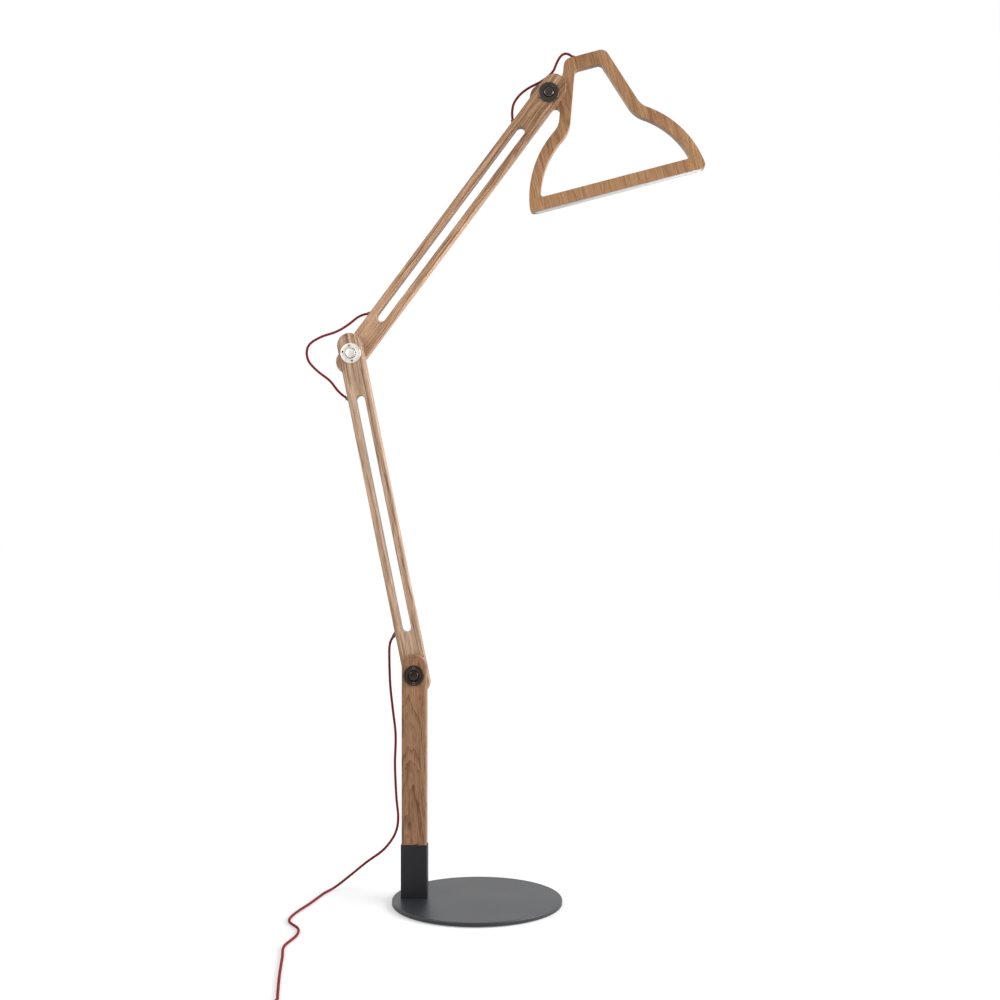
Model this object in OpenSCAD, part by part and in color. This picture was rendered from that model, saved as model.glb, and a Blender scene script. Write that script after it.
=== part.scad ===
// Floor lamp: a post and two slotted swing arms of flat board, and a light head cut as a lampshade outline.
// Millimetres. +X to the right, +Y away from the viewer, +Z up, origin on the floor under the base's middle.

/* [Base] */
// Diameter of the steel base plate
plate_d = 340; // [300:5:420]
// Thickness of the base plate
plate_t = 8; // [6:0.5:12]
// Rounding of the plate's upper rim
plate_rim_r = 2; // [0.5:0.5:4]
// Thickness of the felt pad under the plate
pad_t = 1.5; // [1:0.5:3]
// How far the felt pad stays inside the plate's rim
pad_inset = 12; // [4:1:30]
// Distance of the post from the middle of the plate, to the left
post_offset = 126; // [80:1:130]
// Height of the sleeve above the plate
sleeve_h = 107; // [90:1:140]
// Wall of the sleeve
sleeve_wall = 1.2; // [1:0.1:3]
// Height of the sleeve's solid foot
sleeve_foot = 10; // [8:1:16]
// Distance between the two screws that hold the sleeve
socket_screw_pitch = 28; // [20:1:34]
// Thread diameter of the screws that hold the sleeve
socket_screw_d = 5; // [4:0.5:6]
// Distance from the sleeve's top down to the upper screw in the post
post_screw_drop = 25; // [15:1:35]
// Distance between the two screws in the post
post_screw_pitch = 40; // [30:1:45]
// Thread diameter of the screws in the post
post_screw_d = 4; // [3:0.5:5]
// Depth of the post screws in the wood
post_screw_bite = 14; // [10:1:18]

/* [Boards] */
// Thickness of every board
board_t = 24; // [18:0.5:30]
// Width of the post and the arms
board_w = 50; // [46:1:60]
// Length of an arm from pivot to pivot
arm_len = 661.5; // [560:0.5:760]
// How far a board reaches past its pivot
end_reach = 42; // [36:1:50]
// Height of the shoulder pivot above the floor
shoulder_h = 455; // [400:5:520]
// Width of the long slot in an arm
slot_w = 19; // [12:0.5:21]
// Distance from a pivot to the tip of the slot
slot_tip = 87; // [75:1:110]

/* [Rest pose] */
// Lean of the lower arm to the right at rest, in degrees
lower_lean = -11.5; // [-30:0.5:30]
// Lean of the upper arm to the right at rest, in degrees
upper_lean = 37.2; // [20:0.2:60]
// Lean of the head to the right at rest, in degrees
head_lean = -13.8; // [-30:0.2:10]

/* [Pivots] */
// Diameter of the pivot bolt's shank
bolt_d = 8; // [6:0.5:10]
// Diameter of the pivot bolt's round head
bolt_head_d = 19.5; // [16:0.5:22]
// Height of the pivot bolt's round head
bolt_head_t = 3; // [2:0.5:5]
// Diameter of the round flange on the front board
flange_d = 41; // [38:0.5:46]
// Thickness of the flange
flange_t = 3; // [2:0.5:4]
// Distance of the flange screws from the pivot
flange_screw_r = 15.4; // [14:0.2:16]
// Shank diameter of the flange screws
flange_screw_d = 3; // [2.5:0.5:3.5]
// Depth of the flange screws in the wood
flange_screw_bite = 12; // [8:1:16]
// Wall of the bearing bush
bush_wall = 2; // [1:0.5:3]
// Diameter of the friction washer between two boards
washer_d = 42; // [34:1:46]
// Thickness of the friction washer
washer_t = 1; // [0.5:0.25:2]
// Diameter of the disc spring behind the rear board
spring_d = 24; // [20:1:30]
// Sheet thickness of the disc spring
spring_sheet = 1; // [0.8:0.1:1.5]
// Height of the disc spring
spring_h = 2.2; // [1.8:0.1:3]
// Diameter of the cap nut
nut_d = 22; // [18:1:28]
// Height of the cap nut
nut_h = 9; // [8:0.5:12]
// Wall at the closed end of the cap nut
nut_end = 2.5; // [1.5:0.5:4]

/* [Head] */
// Height of the lampshade outline
head_h = 286.5; // [260:0.5:310]
// Width of the neck between its sloping sides, at the top edge
neck_top_w = 85; // [76:0.2:100]
// Slope of the neck's sides from the vertical, in degrees
neck_slope = 18.5; // [14:0.5:22]
// Radius of the flared wings
wing_r = 200; // [190:1:215]
// How far a wing's centre lies across the middle line
wing_cross = 15.8; // [10:0.2:24]
// How far a wing's centre lies below the lower edge
wing_drop = 16; // [8:1:24]
// Radius of the hollow where neck and wing meet
wing_fillet = 40; // [20:1:50]
// Width of the bars at the sides
side_bar = 22.8; // [18:0.2:28]
// Width of the top bar
top_bar = 25.5; // [20:0.5:30]
// Width of the bottom bar
bottom_bar = 25.6; // [21:0.2:32]
// Radius of the outer corners at the wings' ends
outer_corner = 8; // [4:1:12]
// Radius of the inner corners at the wings' ends
inner_corner = 6; // [3:1:10]
// Radius of the outer corners at the top
top_outer_corner = 17; // [10:1:20]
// Radius of the inner corners at the top
top_inner_corner = 10; // [4:1:14]
// Distance of the head pivot from the head's middle line, to the left
head_pivot_u = 89.6; // [86:0.2:94]
// Height of the head pivot above the head's lower edge
head_pivot_v = 221.4; // [214:0.2:228]
// Radius of the round pivot ear
ear_r = 28; // [27:0.5:32]
// Distance from the pivot out to the middle of the ear's round end
ear_out = 11.8; // [6:0.2:14]
// Direction of that distance above the left, in degrees
ear_angle = 5; // [0:1:20]
// Radius of the hollow under the ear
ear_fillet_low = 10; // [8:1:16]
// Radius of the hollow above the ear
ear_fillet_high = 28; // [16:1:32]

/* [Light strip] */
// Length of the groove for the light strip
strip_len = 330; // [280:5:336]
// Width of the groove
strip_w = 20; // [16:0.5:20.5]
// Depth of the groove
strip_depth = 13; // [11:0.5:16]
// Wall of the aluminium channel
channel_wall = 1.4; // [1:0.1:1.8]
// Thickness of the channel's end caps
channel_cap_t = 2; // [1:0.5:3]
// Thickness of the circuit board
led_board_t = 1.6; // [1:0.2:2]
// Side of one light chip
led_side = 3.5; // [2.5:0.5:5]
// Height of one light chip
led_h = 0.8; // [0.5:0.1:1.2]
// Distance between light chips
led_pitch = 11; // [8:1:20]
// Thickness of the opal diffuser
diffuser_t = 1.6; // [1.2:0.2:2.4]
// Height of the diffuser's two clip legs
diffuser_leg = 4; // [3:0.5:5]
// How far the diffuser stands out of the lower edge
diffuser_proud = 1; // [0:0.5:1.5]

/* [Cord] */
// Diameter of the textile cord
cord_d = 5; // [4:0.5:6]
// Distance from a pivot to the cord's outlet in the arm's edge
outlet_at = 88.5; // [80:0.5:100]
// Slant of the outlet from the edge's normal, in degrees
outlet_slant = 45; // [30:1:50]
// Wall of a ferrule
ferrule_wall = 1.35; // [1:0.05:2]
// Depth of a ferrule in the wood
ferrule_depth = 12; // [8:1:13]
// Length of a ferrule outside the wood
ferrule_out = 5; // [5:1:12]
// Length of the lead's tapered relief outside the wood
relief_out = 10; // [6:1:30]
// Distance of the cord's inlet in the head's top edge from the middle line, to the left
inlet_u = 20.6; // [10:0.2:24]
// Slant of the inlet from the top edge's normal, in degrees
inlet_slant = 40; // [20:1:45]

/* [Foot switch] */
// Width of the switch housing
switch_w = 34; // [30:1:42]
// Length of the switch housing
switch_len = 76; // [66:1:90]
// Height of the housing's lower half
switch_base_h = 9; // [8:0.5:12]
// Height of the housing's upper half
switch_cover_h = 9; // [8:0.5:12]
// Radius of the housing's corners
switch_corner = 9; // [6:1:10]
// Width of the step round the upper half
switch_step = 2; // [1:0.5:3]
// Diameter of the push button
button_d = 21; // [16:1:22]
// Height of the button above the housing
button_proud = 4; // [3.5:0.5:6]
// Travel of the button
button_travel = 2.5; // [2:0.5:3]
// Length of a tapered strain relief on the switch and the plug
strain_len = 20; // [20:1:30]
// Diameter of a strain relief where it meets its housing
strain_d = 12; // [11:0.5:14]

/* [Plug] */
// Width of the plug-in driver
plug_w = 40; // [36:1:48]
// Height of the plug-in driver
plug_h = 24; // [22:1:30]
// Length of the driver's case
plug_len = 56; // [48:1:60]
// Thickness of the driver's pin plate
plug_face_t = 4; // [3:0.5:6]
// Radius of the driver's corners
plug_corner = 6; // [3:0.5:8]
// Diameter of a pin
pin_d = 4; // [3.5:0.1:4.8]
// Distance between the pins
pin_pitch = 19; // [16:1:22]
// Length of a pin outside the plate
pin_len = 19; // [16:1:20]

/* [Coil] */
// Radius of the cord's outer turn
coil_r_out = 36; // [35:0.5:40]
// Turns in one layer
coil_turns = 2.5; // [2.5]
// Distance between turns, and between the two layers
coil_step = 6.2; // [6:0.1:7]
// Width of the tie round the coil
tie_w = 7; // [5:0.5:10]
// Thickness of the tie
tie_t = 1; // [0.8:0.1:1.4]

/* [Hidden] */
$fn = 64;

// Clearances
post_fit = 0.15;
screw_fit = 0.1;
bolt_fit = 0.2;
bush_fit = 0.05;
running_fit = 0.05;
ferrule_fit = 0.05;
cord_fit = 0.15;
strip_fit = 0.15;
button_fit = 0.3;
pin_fit = 0.05;
tie_fit = 0.4;
past = 1;

// Colours
wood_colour = [0.56, 0.41, 0.29];
steel_colour = [0.42, 0.43, 0.44];
black_colour = [0.12, 0.12, 0.13];
chrome_colour = [0.72, 0.73, 0.74];
dark_chrome_colour = [0.25, 0.24, 0.24];
cord_colour = [0.42, 0.12, 0.15];
opal_colour = [0.95, 0.95, 0.93];

// Levels of the base
plate_top = pad_t + plate_t;
post_foot = plate_top + sleeve_foot;
sleeve_in_w = board_w + 2 * post_fit;
sleeve_in_t = board_t + 2 * post_fit;
sleeve_out_w = sleeve_in_w + 2 * sleeve_wall;
sleeve_out_t = sleeve_in_t + 2 * sleeve_wall;
socket_head_d = 2 * socket_screw_d;
socket_head_t = socket_screw_d / 2;
socket_screw_end = 1.5;
socket_screw_len = plate_t + sleeve_foot - socket_screw_end;
post_head_d = 2 * post_screw_d;
post_head_t = 0.6 * post_screw_d;
post_screw_heights = [for (k = [0, 1]) plate_top + sleeve_h - post_screw_drop - k * post_screw_pitch];

// Layers of board, each one further back
layer = board_t + washer_t;
post_y = -board_t / 2;
lower_y = post_y + layer;
upper_y = lower_y + layer;
head_y = upper_y + layer;
end_mid = end_reach - board_w / 2;

// Places of the pivots
function leaning(from, length, lean) = from + length * [sin(lean), 0, cos(lean)];
shoulder = [-post_offset, 0, shoulder_h];
elbow = leaning(shoulder, arm_len, lower_lean);
head_pivot = leaning(elbow, arm_len, upper_lean);

// Pivot hardware
bolt_hole_d = bolt_d + 2 * bolt_fit;
bush_in_d = bolt_d + 2 * running_fit;
bush_out_d = bush_in_d + 2 * bush_wall;
flange_head_d = 2 * flange_screw_d;
flange_head_t = flange_screw_d / 2;
flange_bevel = 0.8;
bolt_bevel = 1;
spring_land = 1.2;
rear_face = 2 * board_t + washer_t;
nut_front = rear_face + spring_h;
nut_bevel = 2;
bolt_tip = nut_front + nut_h - nut_end - past / 2;

// Light strip
channel_w = strip_w - 2 * strip_fit;
channel_h = strip_depth - strip_fit;
channel_in_w = channel_w - 2 * channel_wall;
channel_len = strip_len - 2 * strip_fit - 2 * channel_cap_t;
channel_roof = channel_h - channel_wall;
led_board_w = channel_in_w - 2 * strip_fit;
led_count = floor((channel_len - led_pitch) / led_pitch);
diffuser_w = channel_in_w - 2 * strip_fit;
strip_y = board_t / 2;

// Cord, ferrules and the pieces on the cord
ferrule_in_d = cord_d + 2 * cord_fit;
ferrule_out_d = ferrule_in_d + 2 * ferrule_wall;
ferrule_hole_d = ferrule_out_d + 2 * ferrule_fit;
relief_tip_wall = 0.6;
cord_tuck = 10;
cord_straight = 8;
tube_sides = 10;
coil_sides = 6;
loop_rings = 24;

// Where the cord lies on the floor
switch_x = -266;
switch_y = -678;
switch_relief_y = switch_len / 2 + strain_len;
coil_layer_z = [tie_t + tie_fit + cord_d / 2, tie_t + tie_fit + cord_d / 2 + coil_step];
floor_z = cord_d / 2 + 0.1;
tail_len = 19;
coil_x = switch_x + coil_r_out;
coil_y = switch_y - switch_relief_y - tail_len - cord_d;
coil_r_in = coil_r_out - coil_turns * coil_step;
coil_in_end = 180 + 360 * coil_turns;
coil_climb_end = coil_in_end + 180;
coil_out_end = coil_climb_end + 360 * coil_turns;
plug_x = coil_x + coil_r_out;
plug_lead = 26;
plug_y = coil_y + plug_lead - cord_tuck;
switch_axis_z = switch_base_h;

// Points of the lead between the lower arm and the switch
lead_points = [
  [-180.8, 25, 508], [-181, 25, 490], [-180.5, 25, 465], [-178.8, 25, 428], [-173.5, 25, 380],
  [-168, 25, 330], [-169.5, 26, 270], [-167, 28, 205], [-163.5, 30, 160], [-171, 34, 127], [-195, 41, 94],
  [-232, 52, 65], [-270, 68, 32], [-302, 76, 6], [-318, 40, 2.6], [-330, -30, 2.6], [-346, -110, 2.6],
  [-345, -160, 2.6], [-318, -205, 2.6], [-312, -250, 2.6], [-320, -312, 2.6], [-309, -375, 2.6],
  [-292, -470, 2.6], [-274, -560, 2.6], [-268.5, -585, 3.6], [-266.5, -600, 7.2]
];

// Points of the loop between the two arms
elbow_points = [
  [-288, 27, 1030], [-304, 29, 1050], [-330, 31, 1070], [-350, 33, 1093.5], [-350, 37, 1121.5],
  [-326, 40, 1139.5], [-292, 43, 1151.5], [-267, 46, 1167], [-251, 49, 1180.5]
];

// Points of the loop between the upper arm and the head
head_points = [
  [67.5, 52.5, 1603.5], [71.5, 54.5, 1617], [84.5, 58, 1634.5], [102, 63, 1648.5], [127, 69, 1663],
  [148.5, 73, 1682], [155.5, 75, 1698.5], [160.5, 75, 1708.5], [164.5, 75, 1714.5], [170, 75, 1719],
  [176.5, 75, 1720.5]
];

// A flat shape drawn in X and Z, from y0 back by t
module slab(y0, t) {
  translate([0, y0 + t, 0]) rotate([90, 0, 0]) linear_extrude(t) children();
}

// A round bar along Y
module bar(d, y0, y1) {
  translate([0, y0, 0]) rotate([-90, 0, 0]) cylinder(d = d, h = y1 - y0);
}

// A turned shape along Y, its profile given as radius and distance
module turned(y0, profile) {
  translate([0, y0, 0]) rotate([-90, 0, 0]) rotate_extrude() polygon(profile);
}

// A rectangle with round corners
module round_rect(w, h, r) {
  square([w - 2 * r, h], center = true);
  square([w, h - 2 * r], center = true);
  for (x = [-1, 1], y = [-1, 1]) translate([x * (w / 2 - r), y * (h / 2 - r)]) circle(r = r);
}

// Frames of the moving boards: origin on the pivot, local Z along the board
module in_post() {
  translate(shoulder) children();
}
module in_lower() {
  translate(shoulder) rotate([0, lower_lean, 0]) children();
}
module in_upper() {
  translate(elbow) rotate([0, upper_lean, 0]) children();
}
module in_head() {
  translate(head_pivot) rotate([0, head_lean, 0]) translate([head_pivot_u, 0, -head_pivot_v]) children();
}
module at_shoulder() {
  in_post() translate([0, post_y, 0]) children();
}
module at_elbow() {
  translate(elbow) rotate([0, lower_lean, 0]) translate([0, lower_y, 0]) children();
}
module at_head() {
  translate(head_pivot) rotate([0, upper_lean, 0]) translate([0, upper_y, 0]) children();
}

// Holes that one pivot needs in its front board and in its rear board
module front_holes(y0) {
  bar(bolt_hole_d, y0 - past, y0 + board_t + past);
  for (side = [-1, 1]) {
    translate([0, 0, side * flange_screw_r]) {
      bar(flange_screw_d + 2 * screw_fit, y0 - past, y0 + flange_screw_bite + screw_fit);
    }
  }
}
module rear_hole(y0) {
  bar(bush_out_d + 2 * bush_fit, y0 - past, y0 + board_t + past);
}

// Pivot hardware, with the front board's face at y = 0
module flange() {
  difference() {
    turned(-flange_t, [
      [bolt_hole_d / 2, flange_t], [flange_d / 2, flange_t], [flange_d / 2, flange_bevel],
      [flange_d / 2 - flange_bevel, 0], [bolt_hole_d / 2, 0]
    ]);
    for (side = [-1, 1]) {
      translate([0, 0, side * flange_screw_r]) {
        bar(flange_screw_d + 2 * screw_fit, -flange_t - past, past);
        turned(-flange_t, [
          [0, -past], [flange_head_d / 2 + screw_fit, -past], [flange_head_d / 2 + screw_fit, 0],
          [flange_screw_d / 2 + screw_fit, flange_head_t], [0, flange_head_t]
        ]);
      }
    }
  }
}
module flange_screws() {
  for (side = [-1, 1]) {
    translate([0, 0, side * flange_screw_r]) {
      turned(-flange_t, [
        [0, 0], [flange_head_d / 2, 0], [flange_screw_d / 2, flange_head_t],
        [flange_screw_d / 2, flange_t + flange_screw_bite - flange_screw_d],
        [0, flange_t + flange_screw_bite]
      ]);
    }
  }
}
module pivot_bolt() {
  turned(-flange_t - bolt_head_t, [
    [0, 0], [bolt_head_d / 2 - bolt_bevel, 0], [bolt_head_d / 2, bolt_bevel],
    [bolt_head_d / 2, bolt_head_t], [bolt_d / 2, bolt_head_t],
    [bolt_d / 2, bolt_head_t + flange_t + bolt_tip], [0, bolt_head_t + flange_t + bolt_tip]
  ]);
}
module bush() {
  difference() {
    bar(bush_out_d, layer, layer + board_t);
    bar(bush_in_d, layer - past, layer + board_t + past);
  }
}
module friction_washer() {
  difference() {
    bar(washer_d, board_t, layer);
    bar(bolt_hole_d, board_t - past, layer + past);
  }
}
module disc_spring() {
  turned(rear_face, [
    [bolt_hole_d / 2, spring_h - spring_sheet], [spring_d / 2 - spring_land, 0], [spring_d / 2, 0],
    [spring_d / 2, spring_sheet], [bolt_hole_d / 2 + spring_land, spring_h], [bolt_hole_d / 2, spring_h]
  ]);
}
module cap_nut() {
  turned(nut_front, [
    [bolt_hole_d / 2, 0], [nut_d / 2, 0], [nut_d / 2, nut_h - nut_bevel],
    [nut_d / 2 - nut_bevel, nut_h], [0, nut_h], [0, nut_h - nut_end], [bolt_hole_d / 2, nut_h - nut_end]
  ]);
}

// Base
module base_plate() {
  color(steel_colour) difference() {
    translate([0, 0, pad_t]) rotate_extrude($fn = 128) {
      square([plate_d / 2 - plate_rim_r, plate_t]);
      square([plate_d / 2, plate_t - plate_rim_r]);
      translate([plate_d / 2 - plate_rim_r, plate_t - plate_rim_r]) circle(r = plate_rim_r);
    }
    for (side = [-1, 1]) {
      translate([-post_offset + side * socket_screw_pitch / 2, 0, pad_t]) {
        translate([0, 0, -past]) cylinder(d = socket_screw_d + 2 * screw_fit, h = plate_t + 2 * past);
        rotate_extrude() polygon([
          [0, -past], [socket_head_d / 2 + screw_fit, -past], [socket_head_d / 2 + screw_fit, 0],
          [socket_screw_d / 2 + screw_fit, socket_head_t], [0, socket_head_t]
        ]);
      }
    }
  }
}
module floor_pad() {
  color(black_colour) cylinder(d = plate_d - 2 * pad_inset, h = pad_t, $fn = 128);
}
module socket_sleeve() {
  color(black_colour) difference() {
    translate([-post_offset - sleeve_out_w / 2, -sleeve_out_t / 2, plate_top]) {
      cube([sleeve_out_w, sleeve_out_t, sleeve_h]);
    }
    translate([-post_offset - sleeve_in_w / 2, -sleeve_in_t / 2, post_foot]) {
      cube([sleeve_in_w, sleeve_in_t, sleeve_h]);
    }
    for (side = [-1, 1]) {
      translate([-post_offset + side * socket_screw_pitch / 2, 0, plate_top - past]) {
        cylinder(d = socket_screw_d + 2 * screw_fit, h = sleeve_foot + 2 * past);
      }
    }
    for (z = post_screw_heights) {
      translate([-post_offset, 0, z]) bar(post_screw_d + 2 * screw_fit, 0, sleeve_out_t);
    }
  }
}
module socket_screws() {
  color(chrome_colour) for (side = [-1, 1]) {
    translate([-post_offset + side * socket_screw_pitch / 2, 0, pad_t]) rotate_extrude() polygon([
      [0, 0], [socket_head_d / 2, 0], [socket_screw_d / 2, socket_head_t],
      [socket_screw_d / 2, socket_screw_len], [0, socket_screw_len]
    ]);
  }
}
module post() {
  color(wood_colour) difference() {
    in_post() slab(post_y, board_t) {
      translate([-board_w / 2, post_foot - shoulder_h]) square([board_w, shoulder_h - post_foot + end_mid]);
      translate([0, end_mid]) circle(d = board_w);
    }
    in_post() front_holes(post_y);
    for (z = post_screw_heights) {
      translate([-post_offset, 0, z]) {
        bar(post_screw_d + 2 * screw_fit, board_t / 2 - post_screw_bite - screw_fit, board_t);
      }
    }
  }
}
module post_screws() {
  color(chrome_colour) for (z = post_screw_heights) {
    translate([-post_offset, 0, z]) turned(board_t / 2 - post_screw_bite, [
      [0, 0], [post_screw_d / 2, post_screw_d], [post_screw_d / 2, post_screw_bite + post_fit + sleeve_wall],
      [post_head_d / 2, post_screw_bite + post_fit + sleeve_wall],
      [post_head_d / 2, post_screw_bite + post_fit + sleeve_wall + post_head_t / 2],
      [post_head_d / 2 - post_head_t / 2, post_screw_bite + post_fit + sleeve_wall + post_head_t],
      [0, post_screw_bite + post_fit + sleeve_wall + post_head_t]
    ]);
  }
}
module shoulder_flange() {
  color(dark_chrome_colour) at_shoulder() flange();
}
module shoulder_flange_screws() {
  color(chrome_colour) at_shoulder() flange_screws();
}
module shoulder_bolt() {
  color(dark_chrome_colour) at_shoulder() pivot_bolt();
}
module shoulder_spring() {
  color(chrome_colour) at_shoulder() disc_spring();
}
module shoulder_nut() {
  color(dark_chrome_colour) at_shoulder() cap_nut();
}

// Arms. An outlet is a slanted bore in the left edge that looks towards the nearer pivot.
module arm_outline() {
  difference() {
    union() {
      translate([-board_w / 2, -end_mid]) square([board_w, arm_len + 2 * end_mid]);
      for (z = [-end_mid, arm_len + end_mid]) translate([0, z]) circle(d = board_w);
    }
    translate([-slot_w / 2, slot_tip + slot_w / 2]) square([slot_w, arm_len - 2 * slot_tip - slot_w]);
    for (z = [slot_tip + slot_w / 2, arm_len - slot_tip - slot_w / 2]) translate([0, z]) circle(d = slot_w);
  }
}
module at_outlet(y0, z, towards) {
  translate([-board_w / 2, y0 + board_t / 2, z]) rotate([0, -90 + towards * outlet_slant, 0]) children();
}
module low_outlet(y0) {
  at_outlet(y0, outlet_at, -1) children();
}
module high_outlet(y0) {
  at_outlet(y0, arm_len - outlet_at, 1) children();
}
module outlet_hole() {
  translate([0, 0, -ferrule_depth]) cylinder(d = ferrule_hole_d, h = ferrule_depth + ferrule_out);
}
module ferrule(out, tip_wall) {
  translate([0, 0, -ferrule_depth]) rotate_extrude() polygon([
    [ferrule_in_d / 2, 0], [ferrule_out_d / 2, 0], [ferrule_out_d / 2, ferrule_depth + ferrule_out_d / 2],
    [ferrule_in_d / 2 + tip_wall, ferrule_depth + out], [ferrule_in_d / 2, ferrule_depth + out]
  ]);
}
module arm_board(y0) {
  difference() {
    slab(y0, board_t) arm_outline();
    rear_hole(y0);
    translate([0, 0, arm_len]) front_holes(y0);
    low_outlet(y0) outlet_hole();
    high_outlet(y0) outlet_hole();
  }
}
module lower_arm_board() {
  color(wood_colour) in_lower() arm_board(lower_y);
}
module shoulder_bush() {
  color(opal_colour) at_shoulder() bush();
}
module shoulder_washer() {
  color(black_colour) at_shoulder() friction_washer();
}
module lower_arm_ferrule() {
  color(black_colour) in_lower() high_outlet(lower_y) ferrule(ferrule_out, ferrule_wall);
}
module lead_relief() {
  color(black_colour) in_lower() low_outlet(lower_y) ferrule(relief_out, relief_tip_wall);
}
module elbow_flange() {
  color(chrome_colour) at_elbow() flange();
}
module elbow_flange_screws() {
  color(chrome_colour) at_elbow() flange_screws();
}
module elbow_bolt() {
  color(chrome_colour) at_elbow() pivot_bolt();
}
module elbow_spring() {
  color(chrome_colour) at_elbow() disc_spring();
}
module elbow_nut() {
  color(chrome_colour) at_elbow() cap_nut();
}
module upper_arm_board() {
  color(wood_colour) in_upper() arm_board(upper_y);
}
module elbow_bush() {
  color(opal_colour) at_elbow() bush();
}
module elbow_washer() {
  color(black_colour) at_elbow() friction_washer();
}
module upper_arm_ferrules() {
  color(black_colour) in_upper() {
    low_outlet(upper_y) ferrule(ferrule_out, ferrule_wall);
    high_outlet(upper_y) ferrule(ferrule_out, ferrule_wall);
  }
}
module head_flange() {
  color(dark_chrome_colour) at_head() flange();
}
module head_flange_screws() {
  color(chrome_colour) at_head() flange_screws();
}
module head_bolt() {
  color(dark_chrome_colour) at_head() pivot_bolt();
}
module head_spring() {
  color(chrome_colour) at_head() disc_spring();
}
module head_nut() {
  color(dark_chrome_colour) at_head() cap_nut();
}

// Head outline: u across, v up, the middle of the lower edge at the origin
arc_sag = 0.04;
function arc(mid, r, from, to) = let (
  steps = max(4, ceil(abs(to - from) / (2 * acos(1 - arc_sag / r))))
) [for (k = [0 : steps]) let (a = from + (to - from) * k / steps) mid + r * [cos(a), sin(a)]];
function angle_of(v) = atan2(v[1], v[0]);
neck_normal = [cos(neck_slope), sin(neck_slope)];
neck_up = [-sin(neck_slope), cos(neck_slope)];
neck_reach = neck_normal * [neck_top_w / 2, head_h];
wing_mid = [-wing_cross, -wing_drop];

// Middle of the hollow that touches the neck's side and a round of radius r about mid
function hollow_mid(mid, r, fillet, reach, way) = let (
  off = reach + fillet - neck_normal * mid,
  along = sqrt((r + fillet) * (r + fillet) - off * off)
) mid + off * neck_normal + way * along * neck_up;

// Right half from the lower edge up to the neck, moved inwards by inset
function wing(inset, low, corner) = let (
  r = wing_r - inset,
  fillet = wing_fillet + inset,
  rise = low + corner - wing_mid[1],
  low_mid = [wing_mid[0] + sqrt((r - corner) * (r - corner) - rise * rise), low + corner],
  hollow = hollow_mid(wing_mid, r, fillet, neck_reach - inset, 1),
  low_angle = angle_of(low_mid - wing_mid),
  high_angle = angle_of(hollow - wing_mid)
) concat(
  arc(low_mid, corner, -90, low_angle),
  arc(wing_mid, r, low_angle, high_angle),
  arc(hollow, fillet, 180 + high_angle, 180 + neck_slope)
);

// Corner between the neck and the top edge
function neck_end(inset, high, corner) = let (
  reach = neck_reach - inset - corner
) arc([(reach - neck_normal[1] * (high - corner)) / neck_normal[0], high - corner], corner, neck_slope, 90);

// Pivot ear, drawn here on the right: a hollow, the round end and a wider hollow
ear_mid = [head_pivot_u, head_pivot_v] + ear_out * [cos(ear_angle), sin(ear_angle)];
ear_low = hollow_mid(ear_mid, ear_r, ear_fillet_low, neck_reach, -1);
ear_high = hollow_mid(ear_mid, ear_r, ear_fillet_high, neck_reach, 1);
ear_low_angle = angle_of(ear_mid - ear_low);
ear_high_angle = angle_of(ear_high - ear_mid);
ear = concat(
  arc(ear_low, ear_fillet_low, 180 + neck_slope, ear_low_angle),
  arc(ear_mid, ear_r, 180 + ear_low_angle, 360 + ear_high_angle),
  arc(ear_high, ear_fillet_high, 180 + ear_high_angle, 180 + neck_slope)
);
function mirrored(points) = [for (k = [len(points) - 1 : -1 : 0]) [-points[k][0], points[k][1]]];
module head_outline() {
  foot = wing(0, 0, outer_corner);
  top = neck_end(0, head_h, top_outer_corner);
  inside = concat(
    wing(side_bar, bottom_bar, inner_corner), neck_end(side_bar, head_h - top_bar, top_inner_corner)
  );
  difference() {
    polygon(concat(foot, top, mirrored(concat(foot, ear, top))));
    polygon(concat(inside, mirrored(inside)));
  }
}
module at_inlet() {
  translate([-inlet_u, head_y + board_t / 2, head_h]) rotate([0, -inlet_slant, 0]) children();
}
module at_strip() {
  translate([0, head_y + strip_y, 0]) children();
}
module head_frame() {
  color(wood_colour) in_head() difference() {
    slab(head_y, board_t) head_outline();
    translate([-head_pivot_u, 0, head_pivot_v]) rear_hole(head_y);
    at_inlet() outlet_hole();
    at_strip() translate([-strip_len / 2, -strip_w / 2, -past]) cube([strip_len, strip_w, strip_depth + past]);
  }
}
module head_bush() {
  color(opal_colour) at_head() bush();
}
module head_washer() {
  color(black_colour) at_head() friction_washer();
}
module head_ferrule() {
  color(black_colour) in_head() at_inlet() ferrule(ferrule_out, ferrule_wall);
}

// Light strip in the lower edge
module led_channel() {
  color(chrome_colour) in_head() at_strip() difference() {
    translate([-channel_len / 2, -channel_w / 2, 0]) cube([channel_len, channel_w, channel_h]);
    translate([-channel_len / 2 - past, -channel_in_w / 2, -past]) {
      cube([channel_len + 2 * past, channel_in_w, channel_roof + past]);
    }
  }
}
module led_board() {
  color("white") in_head() at_strip() translate([-channel_len / 2, -led_board_w / 2, channel_roof - led_board_t]) {
    cube([channel_len, led_board_w, led_board_t]);
  }
}
module led_chips() {
  color("gold") in_head() at_strip() for (k = [0 : led_count - 1]) {
    translate([
      (k - (led_count - 1) / 2) * led_pitch - led_side / 2, -led_side / 2, channel_roof - led_board_t - led_h
    ]) cube([led_side, led_side, led_h]);
  }
}
module diffuser() {
  color(opal_colour) in_head() at_strip() difference() {
    translate([-channel_len / 2, -diffuser_w / 2, -diffuser_proud]) {
      cube([channel_len, diffuser_w, diffuser_t + diffuser_leg]);
    }
    translate([-channel_len / 2 - past, -diffuser_w / 2 + diffuser_t, diffuser_t - diffuser_proud]) {
      cube([channel_len + 2 * past, diffuser_w - 2 * diffuser_t, diffuser_leg + past]);
    }
  }
}
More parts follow.
